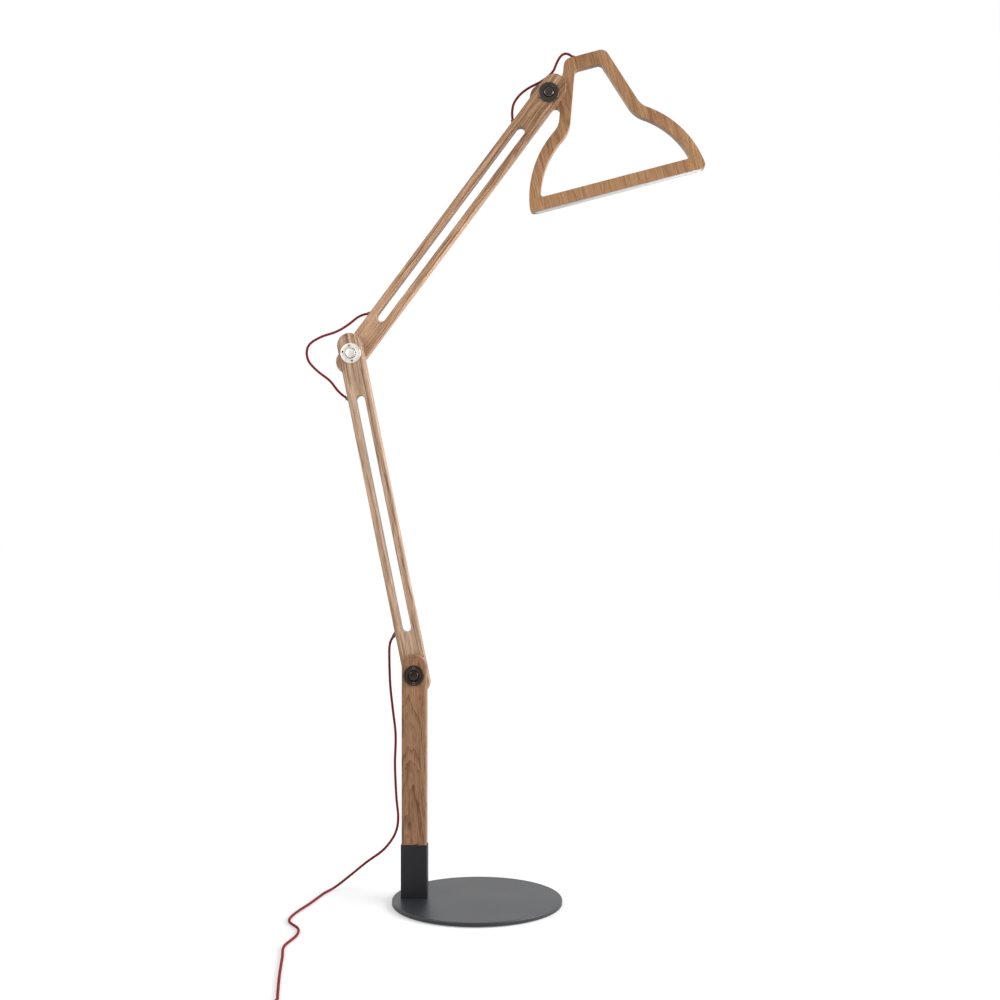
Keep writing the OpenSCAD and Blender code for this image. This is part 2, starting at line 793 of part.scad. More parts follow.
module channel_caps() {
  color(chrome_colour) in_head() at_strip() for (side = [0, 1]) mirror([side, 0, 0]) {
    translate([channel_len / 2, -channel_w / 2, 0]) cube([channel_cap_t, channel_w, channel_h]);
  }
}

// Places on the cord, worked out as the modules above place the ferrules
function turned_by(v, lean) = [v[0] * cos(lean) + v[2] * sin(lean), v[1], v[2] * cos(lean) - v[0] * sin(lean)];
function outlet_point(pivot, y0, lean, z, towards, out) = pivot + turned_by([
  -board_w / 2 - out * cos(outlet_slant), y0 + board_t / 2, z + towards * out * sin(outlet_slant)
], lean);
function outlet_ends(pivot, y0, lean, z, towards, out) = [
  for (d = [out - cord_tuck, out, out + cord_straight]) outlet_point(pivot, y0, lean, z, towards, d)
];
function inlet_point(out) = head_pivot + turned_by([
  head_pivot_u - inlet_u - out * sin(inlet_slant), head_y + board_t / 2, head_h - head_pivot_v + out * cos(inlet_slant)
], head_lean);
function backwards(points) = [for (k = [len(points) - 1 : -1 : 0]) points[k]];

// A smooth line through hand-picked points, with some steps between each two
function between(a, b, c, d, t) = 0.5 * (
  2 * b + t * (c - a) + t * t * (2 * a - 5 * b + 4 * c - d) + t * t * t * (3 * b - a - 3 * c + d)
);
function smooth(p, steps) = let (last = len(p) - 1) concat(
  [for (k = [0 : last - 1], s = [0 : steps - 1])
    between(p[max(k - 1, 0)], p[k], p[k + 1], p[min(k + 2, last)], s / steps)],
  [p[last]]
);

// A tube swept along a line of points
function unit(v) = v / norm(v);
function headings(p) = [for (k = [0 : len(p) - 1]) unit(p[min(k + 1, len(p) - 1)] - p[max(k - 1, 0)])];
function squared_to(n, t) = unit(n - (n * t) * t);
function sideways(t) = [
  for (k = 0, n = squared_to([0.3, 0.2, 1], t[0]); k < len(t);
    k = k + 1, n = k < len(t) ? squared_to(n, t[k]) : n) n
];
module tube(points, sides) {
  t = headings(points);
  n = sideways(t);
  rings = len(points);
  corners = [
    for (k = [0 : rings - 1], s = [0 : sides - 1]) let (a = 360 * s / sides)
      points[k] + cord_d / 2 * (cos(a) * n[k] + sin(a) * cross(t[k], n[k]))
  ];
  walls = [
    for (k = [0 : rings - 2], s = [0 : sides - 1]) let (a = k * sides, e = (s + 1) % sides)
      each [[a + s, a + sides + s, a + e], [a + e, a + sides + s, a + sides + e]]
  ];
  ends = [
    for (s = [1 : sides - 2]) each [[0, s, s + 1], [(rings - 1) * sides, (rings - 1) * sides + s + 1, (rings - 1) * sides + s]]
  ];
  polyhedron(corners, concat(walls, ends));
}
lead_line = smooth(concat(
  outlet_ends(shoulder, lower_y, lower_lean, outlet_at, -1, relief_out),
  lead_points,
  [for (d = [-cord_straight, 0, cord_tuck]) [switch_x, switch_y + switch_relief_y - d, switch_axis_z]]
), 2);
elbow_line = smooth(concat(
  outlet_ends(shoulder, lower_y, lower_lean, arm_len - outlet_at, 1, ferrule_out),
  elbow_points,
  backwards(outlet_ends(elbow, upper_y, upper_lean, outlet_at, -1, ferrule_out))
), 2);
head_line = smooth(concat(
  outlet_ends(elbow, upper_y, upper_lean, arm_len - outlet_at, 1, ferrule_out),
  head_points,
  [for (d = [cord_straight, 0, -cord_tuck]) inlet_point(ferrule_out + d)]
), 1);
module floor_lead() {
  color(cord_colour) tube(lead_line, tube_sides);
}
module elbow_loop() {
  color(cord_colour) tube(elbow_line, tube_sides);
}
module head_loop() {
  color(cord_colour) tube(head_line, tube_sides);
}
module lead_tail() {
  color(cord_colour) tube([
    [switch_x, switch_y - switch_relief_y + cord_tuck, switch_axis_z],
    [switch_x, switch_y - switch_relief_y - tail_len / 4, switch_axis_z],
    [switch_x, switch_y - switch_relief_y - tail_len * 3 / 4, coil_layer_z[0]],
    [switch_x, switch_y - switch_relief_y - tail_len, coil_layer_z[0]]
  ], tube_sides);
}

// Coil of the put-away length: in on the lower layer, up in half a turn, out on the upper layer
function coil_r(a) = a < coil_in_end ? coil_r_out - coil_step * (a - 180) / 360
  : a < coil_climb_end ? coil_r_in : coil_r_in + coil_step * (a - coil_climb_end) / 360;
function coil_z(a) = a < coil_in_end ? coil_layer_z[0]
  : a < coil_climb_end ? coil_layer_z[0] + coil_step * (a - coil_in_end) / 180 : coil_layer_z[1];
function coil_point(a) = [coil_x + coil_r(a) * cos(a), coil_y + coil_r(a) * sin(a), coil_z(a)];
coil_turn = 360 / loop_rings;
coil_line = concat(
  [coil_point(180) + [0, cord_d, 0]],
  [for (a = [180 : coil_turn : coil_out_end]) coil_point(a)],
  [coil_point(coil_out_end) + [0, plug_lead, 0]]
);
coil_gap = min([
  for (i = [0 : len(coil_line) - 1], j = [i + loop_rings / 2 : 1 : len(coil_line) - 1])
    norm(coil_line[i] - coil_line[j]) - cord_d
]);
echo("least gap of the coil to itself", coil_gap);
module cord_coil() {
  color(cord_colour) tube(coil_line, coil_sides);
}
module coil_tie() {
  low = coil_r(coil_in_end) - cord_d / 2 - tie_fit;
  high = coil_r(450) + cord_d / 2 + tie_fit;
  top = coil_layer_z[1] + cord_d / 2 + tie_fit;
  color(black_colour) translate([coil_x - tie_w / 2, coil_y, 0]) difference() {
    translate([0, low - tie_t, 0]) cube([tie_w, high - low + 2 * tie_t, top + tie_t]);
    translate([-past, low, tie_t]) cube([tie_w + 2 * past, high - low, top - tie_t]);
  }
}

// Foot switch in the lead and the plug-in driver at its end
module strain_relief() {
  rotate([-90, 0, 0]) rotate_extrude() polygon([
    [ferrule_in_d / 2, 0], [strain_d / 2, 0], [strain_d / 2, strain_len / 8],
    [ferrule_in_d / 2 + relief_tip_wall, strain_len], [ferrule_in_d / 2, strain_len]
  ]);
}
module switch_base() {
  color(black_colour) translate([switch_x, switch_y, 0]) {
    linear_extrude(switch_base_h) round_rect(switch_w, switch_len, switch_corner);
  }
}
module switch_cover() {
  color(black_colour) translate([switch_x, switch_y, switch_base_h]) difference() {
    union() {
      linear_extrude(switch_cover_h - switch_step) round_rect(switch_w, switch_len, switch_corner);
      linear_extrude(switch_cover_h) {
        round_rect(switch_w - 2 * switch_step, switch_len - 2 * switch_step, switch_corner - switch_step);
      }
    }
    translate([0, 0, -past]) cylinder(d = button_d + 2 * button_fit, h = switch_cover_h + 2 * past);
  }
}
module switch_button() {
  button_h = switch_cover_h + button_proud - button_travel - button_fit;
  color(chrome_colour) translate([switch_x, switch_y, switch_base_h + button_travel + button_fit]) {
    rotate_extrude() {
      square([button_d / 2, button_h - button_proud / 2]);
      square([button_d / 2 - button_proud / 2, button_h]);
      translate([button_d / 2 - button_proud / 2, button_h - button_proud / 2]) circle(d = button_proud);
    }
  }
}
module switch_reliefs() {
  color(black_colour) translate([switch_x, switch_y, switch_axis_z]) for (side = [0, 1]) mirror([0, side, 0]) {
    translate([0, switch_len / 2, 0]) strain_relief();
  }
}
plug_mid_z = plug_h / 2;
plug_case_y = plug_y + strain_len;
plug_face_y = plug_case_y + plug_len;
module plug_case() {
  color(black_colour) translate([plug_x, 0, plug_mid_z]) slab(plug_case_y, plug_len) {
    round_rect(plug_w, plug_h, plug_corner);
  }
}
module plug_face() {
  color(black_colour) translate([plug_x, 0, plug_mid_z]) difference() {
    slab(plug_face_y, plug_face_t) round_rect(plug_w - switch_step, plug_h - switch_step, plug_corner);
    for (side = [-1, 1]) {
      translate([side * pin_pitch / 2, 0, 0]) bar(pin_d + 2 * pin_fit, plug_face_y - past, plug_face_y + plug_face_t + past);
    }
  }
}
module plug_pins() {
  color(chrome_colour) translate([plug_x, plug_face_y, plug_mid_z]) for (side = [-1, 1]) {
    translate([side * pin_pitch / 2, 0, 0]) turned(0, [
      [0, 0], [pin_d / 2, 0], [pin_d / 2, plug_face_t + pin_len - pin_d / 4],
      [pin_d / 4, plug_face_t + pin_len], [0, plug_face_t + pin_len]
    ]);
  }
}
module plug_relief() {
  color(black_colour) translate([plug_x, plug_case_y, coil_layer_z[1]]) mirror([0, 1, 0]) strain_relief();
}

base_plate();
floor_pad();
socket_sleeve();
socket_screws();
post();
post_screws();
shoulder_flange();
shoulder_flange_screws();
shoulder_bolt();
shoulder_spring();
shoulder_nut();
lower_arm_board();
shoulder_bush();
shoulder_washer();
lower_arm_ferrule();
lead_relief();
elbow_flange();
elbow_flange_screws();
elbow_bolt();
elbow_spring();
elbow_nut();
upper_arm_board();
elbow_bush();
elbow_washer();
upper_arm_ferrules();
head_flange();
head_flange_screws();
head_bolt();
head_spring();
head_nut();
head_frame();
head_bush();
head_washer();
head_ferrule();
led_channel();
led_board();
led_chips();
diffuser();
channel_caps();
floor_lead();
elbow_loop();
head_loop();
lead_tail();
cord_coil();
coil_tie();
switch_base();
switch_cover();
switch_button();
switch_reliefs();
plug_case();
plug_face();
plug_pins();
plug_relief();
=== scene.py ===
"""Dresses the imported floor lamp: eased boards, turned pivots, braided cord, switch, plug and light strip.

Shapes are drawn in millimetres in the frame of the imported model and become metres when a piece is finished.
"""

import logging
import math
from dataclasses import dataclass
from enum import Enum
from functools import lru_cache
from typing import Callable, Dict, Iterable, List, Optional, Sequence, Tuple

import bmesh
import bpy
from mathutils import Matrix, Vector
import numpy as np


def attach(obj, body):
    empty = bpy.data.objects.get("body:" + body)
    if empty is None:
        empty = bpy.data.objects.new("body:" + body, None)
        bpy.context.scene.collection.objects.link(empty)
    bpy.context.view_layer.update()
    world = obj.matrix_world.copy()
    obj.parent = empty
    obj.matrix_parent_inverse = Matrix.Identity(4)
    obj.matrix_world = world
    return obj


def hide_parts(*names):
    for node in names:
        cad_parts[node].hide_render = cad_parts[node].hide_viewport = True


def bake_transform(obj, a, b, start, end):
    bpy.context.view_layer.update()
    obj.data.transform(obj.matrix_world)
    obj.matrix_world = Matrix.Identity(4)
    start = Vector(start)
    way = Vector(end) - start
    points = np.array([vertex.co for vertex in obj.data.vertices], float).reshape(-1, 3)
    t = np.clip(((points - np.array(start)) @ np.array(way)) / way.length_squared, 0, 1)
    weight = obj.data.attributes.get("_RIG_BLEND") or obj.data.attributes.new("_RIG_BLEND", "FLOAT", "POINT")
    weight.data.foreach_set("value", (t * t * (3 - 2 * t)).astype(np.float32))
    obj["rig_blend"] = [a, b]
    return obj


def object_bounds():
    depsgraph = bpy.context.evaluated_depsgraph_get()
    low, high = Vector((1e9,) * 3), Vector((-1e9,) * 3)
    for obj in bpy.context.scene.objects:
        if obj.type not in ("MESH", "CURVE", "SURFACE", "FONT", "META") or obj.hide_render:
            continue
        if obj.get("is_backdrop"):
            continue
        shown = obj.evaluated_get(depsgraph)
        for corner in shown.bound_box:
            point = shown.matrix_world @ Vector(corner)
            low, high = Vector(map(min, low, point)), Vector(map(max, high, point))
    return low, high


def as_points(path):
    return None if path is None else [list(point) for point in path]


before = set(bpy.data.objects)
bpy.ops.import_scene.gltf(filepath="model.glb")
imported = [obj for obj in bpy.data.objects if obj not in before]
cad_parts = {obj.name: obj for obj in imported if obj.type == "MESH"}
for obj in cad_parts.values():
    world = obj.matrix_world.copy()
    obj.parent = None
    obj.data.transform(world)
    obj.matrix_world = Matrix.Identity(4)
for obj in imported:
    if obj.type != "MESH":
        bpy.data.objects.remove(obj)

LOG = logging.getLogger("floor_lamp")
MM = 0.001
# Vertex layer that marks the hollows where a finish paints shade into its colour.
PAINTED_SHADE_LAYER = "hollow"
CAD_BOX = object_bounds()
UPRIGHT = Matrix.Rotation(math.radians(90.0), 4, "X")
WHITE = (1.0, 1.0, 1.0, 1.0)
Colour = Tuple[float, float, float]


class Body(Enum):
    """Moving bodies of the lamp."""

    BASE = "base"
    LOWER = "lower_arm"
    UPPER = "upper_arm"
    HEAD = "head"
    BUTTON = "switch_button"


@dataclass(frozen=True)
class LampSizes:
    """Sizes that the pieces share, in millimetres and degrees, as in the part's source."""

    plate_d: float = 340.0
    plate_t: float = 8.0
    plate_rim_r: float = 2.0
    pad_t: float = 1.5
    post_offset: float = 126.0
    sleeve_h: float = 107.0
    sleeve_wall: float = 1.2
    sleeve_foot: float = 10.0
    post_fit: float = 0.15
    post_screw_drop: float = 25.0
    post_screw_pitch: float = 40.0
    board_t: float = 24.0
    board_w: float = 50.0
    board_ease: float = 2.6
    arm_len: float = 661.5
    end_reach: float = 42.0
    shoulder_h: float = 455.0
    slot_w: float = 19.0
    slot_tip: float = 87.0
    lower_lean: float = -11.5
    upper_lean: float = 37.2
    head_lean: float = -13.8
    washer_t: float = 1.0
    washer_d: float = 42.0
    bolt_d: float = 8.0
    bolt_hole_d: float = 8.4
    bush_hole_d: float = 12.2
    cord_d: float = 5.0
    cord_tuck: float = 10.0
    cord_straight: float = 8.0
    outlet_at: float = 88.5
    outlet_slant: float = 45.0
    ferrule_in_d: float = 5.3
    ferrule_out_d: float = 8.0
    ferrule_depth: float = 12.0
    ferrule_out: float = 5.0
    relief_out: float = 10.0
    inlet_u: float = 20.6
    inlet_slant: float = 40.0

    @property
    def layer(self) -> float:
        """Distance from one board's face to the next board's."""
        return self.board_t + self.washer_t

    @property
    def post_y(self) -> float:
        """Front face of the post."""
        return -self.board_t / 2

    @property
    def lower_y(self) -> float:
        """Front face of the lower arm."""
        return self.post_y + self.layer

    @property
    def upper_y(self) -> float:
        """Front face of the upper arm."""
        return self.lower_y + self.layer

    @property
    def head_y(self) -> float:
        """Front face of the head."""
        return self.upper_y + self.layer

    @property
    def plate_top(self) -> float:
        """Height of the base plate's upper face."""
        return self.pad_t + self.plate_t

    @property
    def end_mid(self) -> float:
        """Distance from a pivot to the middle of the board's round end."""
        return self.end_reach - self.board_w / 2


SIZES = LampSizes()


@dataclass(frozen=True)
class HeadSizes:
    """Sizes of the lampshade outline, in millimetres and degrees: u across, v up from the lower edge."""

    height: float = 286.5
    neck_top_w: float = 85.0
    neck_slope: float = 18.5
    wing_r: float = 200.0
    wing_cross: float = 15.8
    wing_drop: float = 16.0
    wing_fillet: float = 40.0
    side_bar: float = 22.8
    top_bar: float = 25.5
    bottom_bar: float = 25.6
    outer_corner: float = 8.0
    inner_corner: float = 6.0
    top_outer_corner: float = 17.0
    top_inner_corner: float = 10.0
    ease: float = 1.9
    pivot_u: float = 89.6
    pivot_v: float = 221.4
    ear_r: float = 28.0
    ear_out: float = 11.8
    ear_angle: float = 5.0
    ear_fillet_low: float = 10.0
    ear_fillet_high: float = 28.0
    strip_len: float = 348.0
    strip_w: float = 20.0
    strip_depth: float = 13.0
    diffuser_len: float = 343.7
    channel_w: float = 19.7
    channel_h: float = 12.85
    cap_t: float = 2.0
    diffuser_w: float = 16.6
    diffuser_t: float = 1.6
    diffuser_leg: float = 4.0
    diffuser_proud: float = 2.2


HEAD = HeadSizes()


class Places:
    """Frames of the boards and the pivots in the lamp at rest."""

    @staticmethod
    def lean_matrix(degrees: float) -> Matrix:
        """Turn to the right by some degrees, as a matrix."""
        return Matrix.Rotation(math.radians(degrees), 4, "Y")

    @classmethod
    def along(cls, start: Vector, length: float, lean: float) -> Vector:
        """Far pivot of a board that leans to the right by some degrees."""
        return start + cls.lean_matrix(lean) @ Vector((0, 0, length))

    shoulder = Vector((-SIZES.post_offset, 0, SIZES.shoulder_h))

    @classmethod
    def elbow(cls) -> Vector:
        """Pivot between the arms."""
        return cls.along(cls.shoulder, SIZES.arm_len, SIZES.lower_lean)

    @classmethod
    def tilt(cls) -> Vector:
        """Pivot of the head."""
        return cls.along(cls.elbow(), SIZES.arm_len, SIZES.upper_lean)

    @classmethod
    def post(cls) -> Matrix:
        """Frame of the post, on the shoulder pivot."""
        return Matrix.Translation(cls.shoulder)

    @classmethod
    def lower(cls) -> Matrix:
        """Frame of the lower arm, on the shoulder pivot."""
        return Matrix.Translation(cls.shoulder) @ cls.lean_matrix(SIZES.lower_lean)

    @classmethod
    def upper(cls) -> Matrix:
        """Frame of the upper arm, on the elbow pivot."""
        return Matrix.Translation(cls.elbow()) @ cls.lean_matrix(SIZES.upper_lean)

    @classmethod
    def head(cls) -> Matrix:
        """Frame of the head, on the middle of its lower edge."""
        middle = Matrix.Translation((HEAD.pivot_u, 0, -HEAD.pivot_v))
        return Matrix.Translation(cls.tilt()) @ cls.lean_matrix(SIZES.head_lean) @ middle

    @classmethod
    def at_shoulder(cls) -> Matrix:
        """Frame of the shoulder hardware, on the post's front face."""
        return cls.post() @ Matrix.Translation((0, SIZES.post_y, 0))

    @classmethod
    def at_elbow(cls) -> Matrix:
        """Frame of the elbow hardware, on the lower arm's front face."""
        turn = cls.lean_matrix(SIZES.lower_lean)
        return Matrix.Translation(cls.elbow()) @ turn @ Matrix.Translation((0, SIZES.lower_y, 0))

    @classmethod
    def at_tilt(cls) -> Matrix:
        """Frame of the head's hardware, on the upper arm's front face."""
        turn = cls.lean_matrix(SIZES.upper_lean)
        return Matrix.Translation(cls.tilt()) @ turn @ Matrix.Translation((0, SIZES.upper_y, 0))

    @staticmethod
    def outlet(y0: float, z: float, towards: float) -> Matrix:
        """Frame of a cord outlet in an arm's left edge, its own Z pointing out."""
        turn = Places.lean_matrix(-90 + towards * SIZES.outlet_slant)
        return Matrix.Translation((-SIZES.board_w / 2, y0 + SIZES.board_t / 2, z)) @ turn

    @staticmethod
    def inlet() -> Matrix:
        """Frame of the cord's inlet in the head's top edge, within the head's frame."""
        seat = Matrix.Translation((-SIZES.inlet_u, SIZES.head_y + SIZES.board_t / 2, HEAD.height))
        return seat @ Places.lean_matrix(-SIZES.inlet_slant)


class NodeSheet:
    """Adds and links shader nodes in a material or a group."""

    def __init__(self, tree: bpy.types.NodeTree) -> None:
        """Keep the tree to work in."""
        self.tree = tree

    def fill(self, node: bpy.types.Node, inputs: Dict) -> bpy.types.Node:
        """Set or link a node's inputs.

        Args:
            node: The node.
            inputs: Socket names or numbers, each with a value or with an output socket to link.

        Returns:
            The same node.
        """
        for key, value in inputs.items():
            if isinstance(value, bpy.types.NodeSocket):
                self.tree.links.new(value, node.inputs[key])
            else:
                node.inputs[key].default_value = value
        return node

    def add(self, kind: str, inputs: Optional[Dict] = None, **settings) -> bpy.types.Node:
        """Place one node.

        Args:
            kind: Type of the node, without its common prefix.
            inputs: Its inputs, as fill takes them.
            settings: Attributes of the node.

        Returns:
            The new node.
        """
        node = self.tree.nodes.new("ShaderNode" + kind)
        for name, value in settings.items():
            setattr(node, name, value)
        return self.fill(node, inputs or {})

    def math(self, operation: str, *values, clamp: bool = False) -> bpy.types.NodeSocket:
        """Result of one Math node on numbers or sockets, held between 0 and 1 where asked."""
        return self.add("Math", dict(enumerate(values)), operation=operation, use_clamp=clamp).outputs[0]

    def vector(self, operation: str, *values) -> bpy.types.NodeSocket:
        """Result of one Vector Math node on vectors or sockets."""
        return self.add("VectorMath", dict(enumerate(values)), operation=operation).outputs[0]

    def parts(self, vector: bpy.types.NodeSocket) -> List[bpy.types.NodeSocket]:
        """The three parts of a vector."""
        return list(self.add("SeparateXYZ", {0: vector}).outputs)

    def distance(self, first: bpy.types.NodeSocket, second: bpy.types.NodeSocket) -> bpy.types.NodeSocket:
        """Distance of a point from an axis, from its two parts across it."""
        squares = self.math("MULTIPLY_ADD", second, second, self.math("MULTIPLY", first, first))
        return self.math("SQRT", squares)

    def noise(self, vector: bpy.types.NodeSocket, scale, detail: float = 3.0) -> bpy.types.NodeSocket:
        """Noise from 0 to 1 over a vector, finer where the scale is higher."""
        return self.add("TexNoise", {"Vector": vector, "Scale": scale, "Detail": detail}).outputs["Fac"]

    def ramp(self, factor: bpy.types.NodeSocket, stops: Sequence[Tuple[float, Colour]]) -> bpy.types.NodeSocket:
        """Colour ramp over a factor.

        Args:
            factor: Socket from 0 to 1.
            stops: Places with their linear colours, in rising order.

        Returns:
            The colour's socket.
        """
        node = self.add("ValToRGB", {"Fac": factor})
        elements = node.color_ramp.elements
        while len(elements) < len(stops):
            elements.new(1.0)
        for element, (place, colour) in zip(elements, stops):
            element.position = place
            element.color = (*colour, 1.0)
        return node.outputs["Color"]

    def mix(self, factor, first: bpy.types.NodeSocket, second: Colour) -> bpy.types.NodeSocket:
        """Mix of two colours, the first where the factor is 0."""
        return self.add("Mix", {0: factor, 6: first, 7: (*second, 1.0)}, data_type="RGBA").outputs[2]


class EffectGroups:
    """Shader node groups that several finishes share, each built once."""

    @staticmethod
    def start(name: str, inputs: Sequence[Tuple[str, str, float]], outputs: Sequence[str]) -> Tuple:
        """Open a new group.

        Args:
            name: Name of the group.
            inputs: Name, kind and starting value of each input; the value of a vector is left at zero.
            outputs: Names of the outputs, all plain values.

        Returns:
            The group, its sheet, its given sockets and its output node.
        """
        group = bpy.data.node_groups.new(name, "ShaderNodeTree")
        for label, kind, value in inputs:
            socket = group.interface.new_socket(label, in_out="INPUT", socket_type="NodeSocket" + kind)
            if kind == "Float":
                socket.default_value = value
        for label in outputs:
            group.interface.new_socket(label, in_out="OUTPUT", socket_type="NodeSocketFloat")
        given = group.nodes.new("NodeGroupInput").outputs
        return group, NodeSheet(group), given, group.nodes.new("NodeGroupOutput")

    @classmethod
    @lru_cache(maxsize=None)
    def timber(cls) -> bpy.types.NodeTree:
        """Growth rings, fibre, slow tone and flecks of a sawn board, grain along the vector's Z."""
        inputs = [("Vector", "Vector", 0), ("Ring Spacing", "Float", 0.008), ("Taper", "Float", 0.02),
                  ("Wander", "Float", 0.02)]
        group, sheet, given, made = cls.start("timber_figure", inputs, ["Rings", "Fibre", "Cloud", "Flecks"])
        drawn_out = sheet.vector("MULTIPLY", given["Vector"], (1, 1, 0.24))
        wander = sheet.add("TexNoise", {"Vector": drawn_out, "Scale": 24.0, "Detail": 3.0}).outputs["Color"]
        centred = sheet.vector("SUBTRACT", wander, (0.5, 0.5, 0.5))
        across = sheet.vector("MULTIPLY", centred, (1, 1, 0))
        shift = sheet.add("VectorMath", {0: across, "Scale": given["Wander"]}, operation="SCALE").outputs[0]
        bent = sheet.vector("ADD", given["Vector"], shift)
        x, y, z = sheet.parts(bent)
        sloped = sheet.math("MULTIPLY_ADD", z, given["Taper"], sheet.distance(x, y))
        even = sheet.math("DIVIDE", sloped, given["Ring Spacing"])
        pace = sheet.add("TexNoise", {"W": even, "Scale": 0.45, "Detail": 2.0}, noise_dimensions="1D")
        turns = sheet.math("MULTIPLY_ADD", pace.outputs["Fac"], 2.4, even)
        late = sheet.math("POWER", sheet.math("FRACT", turns), 5.0)
        season = sheet.add("TexWhiteNoise", {"W": sheet.math("FLOOR", turns)}, noise_dimensions="1D")
        weight = sheet.math("MULTIPLY_ADD", season.outputs["Value"], 0.8, 0.2)

        def grain(count_across: float, count_along: float, detail: float) -> bpy.types.NodeSocket:
            """Noise drawn out along the grain, from its counts on a metre."""
            counts = (count_across, count_across, count_along)
            return sheet.noise(sheet.vector("MULTIPLY", bent, counts), 1.0, detail)

        broad = sheet.math("MULTIPLY", grain(280, 3.6, 4.0), 0.6)
        pores = sheet.math("SUBTRACT", grain(620, 52, 1.0), 0.58)
        sheet.fill(made, {
            "Rings": sheet.math("MULTIPLY", late, weight),
            "Fibre": sheet.math("MULTIPLY_ADD", grain(640, 15, 2.0), 0.4, broad),
            "Cloud": grain(30, 2.2, 3.0),
            "Flecks": sheet.math("MULTIPLY", pores, 7.0, clamp=True),
        })
        return group

    @classmethod
    @lru_cache(maxsize=None)
    def speckle(cls) -> bpy.types.NodeTree:
        """Fine grain of a coated or moulded surface, with a slow drift in tone."""
        inputs = [("Vector", "Vector", 0), ("Fine Scale", "Float", 2500.0), ("Drift Scale", "Float", 22.0)]
        group, sheet, given, made = cls.start("surface_speckle", inputs, ["Fine", "Drift"])
        fine = sheet.noise(given["Vector"], given["Fine Scale"], 2.0)
        drift = sheet.noise(given["Vector"], given["Drift Scale"], 4.0)
        sheet.fill(made, {"Fine": fine, "Drift": drift})
        return group

    @classmethod
    @lru_cache(maxsize=None)
    def turning(cls) -> bpy.types.NodeTree:
        """Fine rings that a lathe leaves, about the Y axis through the vector's origin."""
        inputs = [("Vector", "Vector", 0), ("Pitch", "Float", 0.0004)]
        group, sheet, given, made = cls.start("lathe_marks", inputs, ["Marks", "Smudge"])
        x, _, z = sheet.parts(given["Vector"])
        count = sheet.math("DIVIDE", sheet.distance(x, z), given["Pitch"])
        marks = sheet.noise(sheet.add("CombineXYZ", {0: count}).outputs[0], 1.0, 2.0)
        sheet.fill(made, {"Marks": marks, "Smudge": sheet.noise(given["Vector"], 160.0)})
        return group

    @classmethod
    @lru_cache(maxsize=None)
    def braid(cls) -> bpy.types.NodeTree:
        """Threads of a braided sleeve on a UV map: U along the cord in metres, V once round."""
        inputs = [("UV", "Vector", 0), ("Pitch", "Float", 0.0022), ("Strands", "Float", 8.0)]
        group, sheet, given, made = cls.start("braided_sleeve", inputs, ["Thread", "Lay", "Fuzz"])
        along, around, _ = sheet.parts(given["UV"])
        run = sheet.math("DIVIDE", along, given["Pitch"])
        round_way = sheet.math("MULTIPLY", around, given["Strands"])
        ways = [sheet.math(sign, run, round_way) for sign in ("ADD", "SUBTRACT")]
        floors = sheet.math("ADD", *[sheet.math("FLOOR", way) for way in ways])
        over = sheet.math("PINGPONG", floors, 1.0)
        threads = []
        for way, share in zip(ways, (over, sheet.math("SUBTRACT", 1.0, over))):
            middle = sheet.math("MULTIPLY_ADD", sheet.math("FRACT", way), 2.0, -1.0)
            crown = sheet.math("SUBTRACT", 1.0, sheet.math("MULTIPLY", middle, middle))
            threads.append(sheet.math("MULTIPLY", crown, share))
        fuzz = sheet.noise(sheet.vector("MULTIPLY", given["UV"], (900, 9, 1)), 1.0)
        sheet.fill(made, {"Thread": sheet.math("ADD", *threads), "Lay": over, "Fuzz": fuzz})
        return group


class Finish:
    """A finish with one material, made when it is first asked for."""

    name: str
    # Near black, painted as shade on the hollows that a mesh marks.
    painted_shade_colour = (0.006, 0.005, 0.004)

    def material(self) -> bpy.types.Material:
        """The finish's material, built once."""
        found = bpy.data.materials.get(self.name)
        if found:
            return found
        made = bpy.data.materials.new(self.name)
        made.use_nodes = True
        made.node_tree.nodes.clear()
        sheet = NodeSheet(made.node_tree)
        shader = sheet.add("BsdfPrincipled", self.dress(sheet))
        sheet.add("OutputMaterial", {"Surface": shader.outputs[0]})
        return made

    def dress(self, sheet: NodeSheet) -> Dict:
        """Values and sockets of the shader's inputs. Each finish has its own way."""
        raise NotImplementedError

    @staticmethod
    def place(sheet: NodeSheet) -> bpy.types.NodeSocket:
        """Object coordinates, in metres."""
        return sheet.add("TexCoord").outputs["Object"]

    @staticmethod
    def use(sheet: NodeSheet, group: bpy.types.NodeTree, inputs: Dict) -> bpy.types.bpy_prop_collection:
        """Outputs of an effect group with some inputs."""
        return sheet.add("Group", inputs, node_tree=group).outputs

    @staticmethod
    def between(sheet: NodeSheet, tone: bpy.types.NodeSocket, colour: Colour, shares: Tuple[float, float]):
        """Colour that runs with a tone from a darker to a lighter share of itself."""
        low, high = ([min(1.0, part * share) for part in colour] for share in shares)
        return sheet.ramp(tone, [(0.3, low), (0.7, high)])

    def with_painted_shade(self, sheet: NodeSheet, colour: bpy.types.NodeSocket) -> bpy.types.NodeSocket:
        """Colour with painted shade: near black on the hollows that the mesh marks, where shade falls."""
        deep = sheet.add("Attribute", attribute_name=PAINTED_SHADE_LAYER).outputs["Fac"]
        return sheet.mix(deep, colour, self.painted_shade_colour)

    @staticmethod
    def raised(sheet: NodeSheet, height: bpy.types.NodeSocket, depth: float) -> bpy.types.NodeSocket:
        """Normal of a surface raised by a height from 0 to 1, its full depth in metres."""
        return sheet.add("Bump", {"Height": height, "Distance": depth, "Strength": 1.0}).outputs[0]


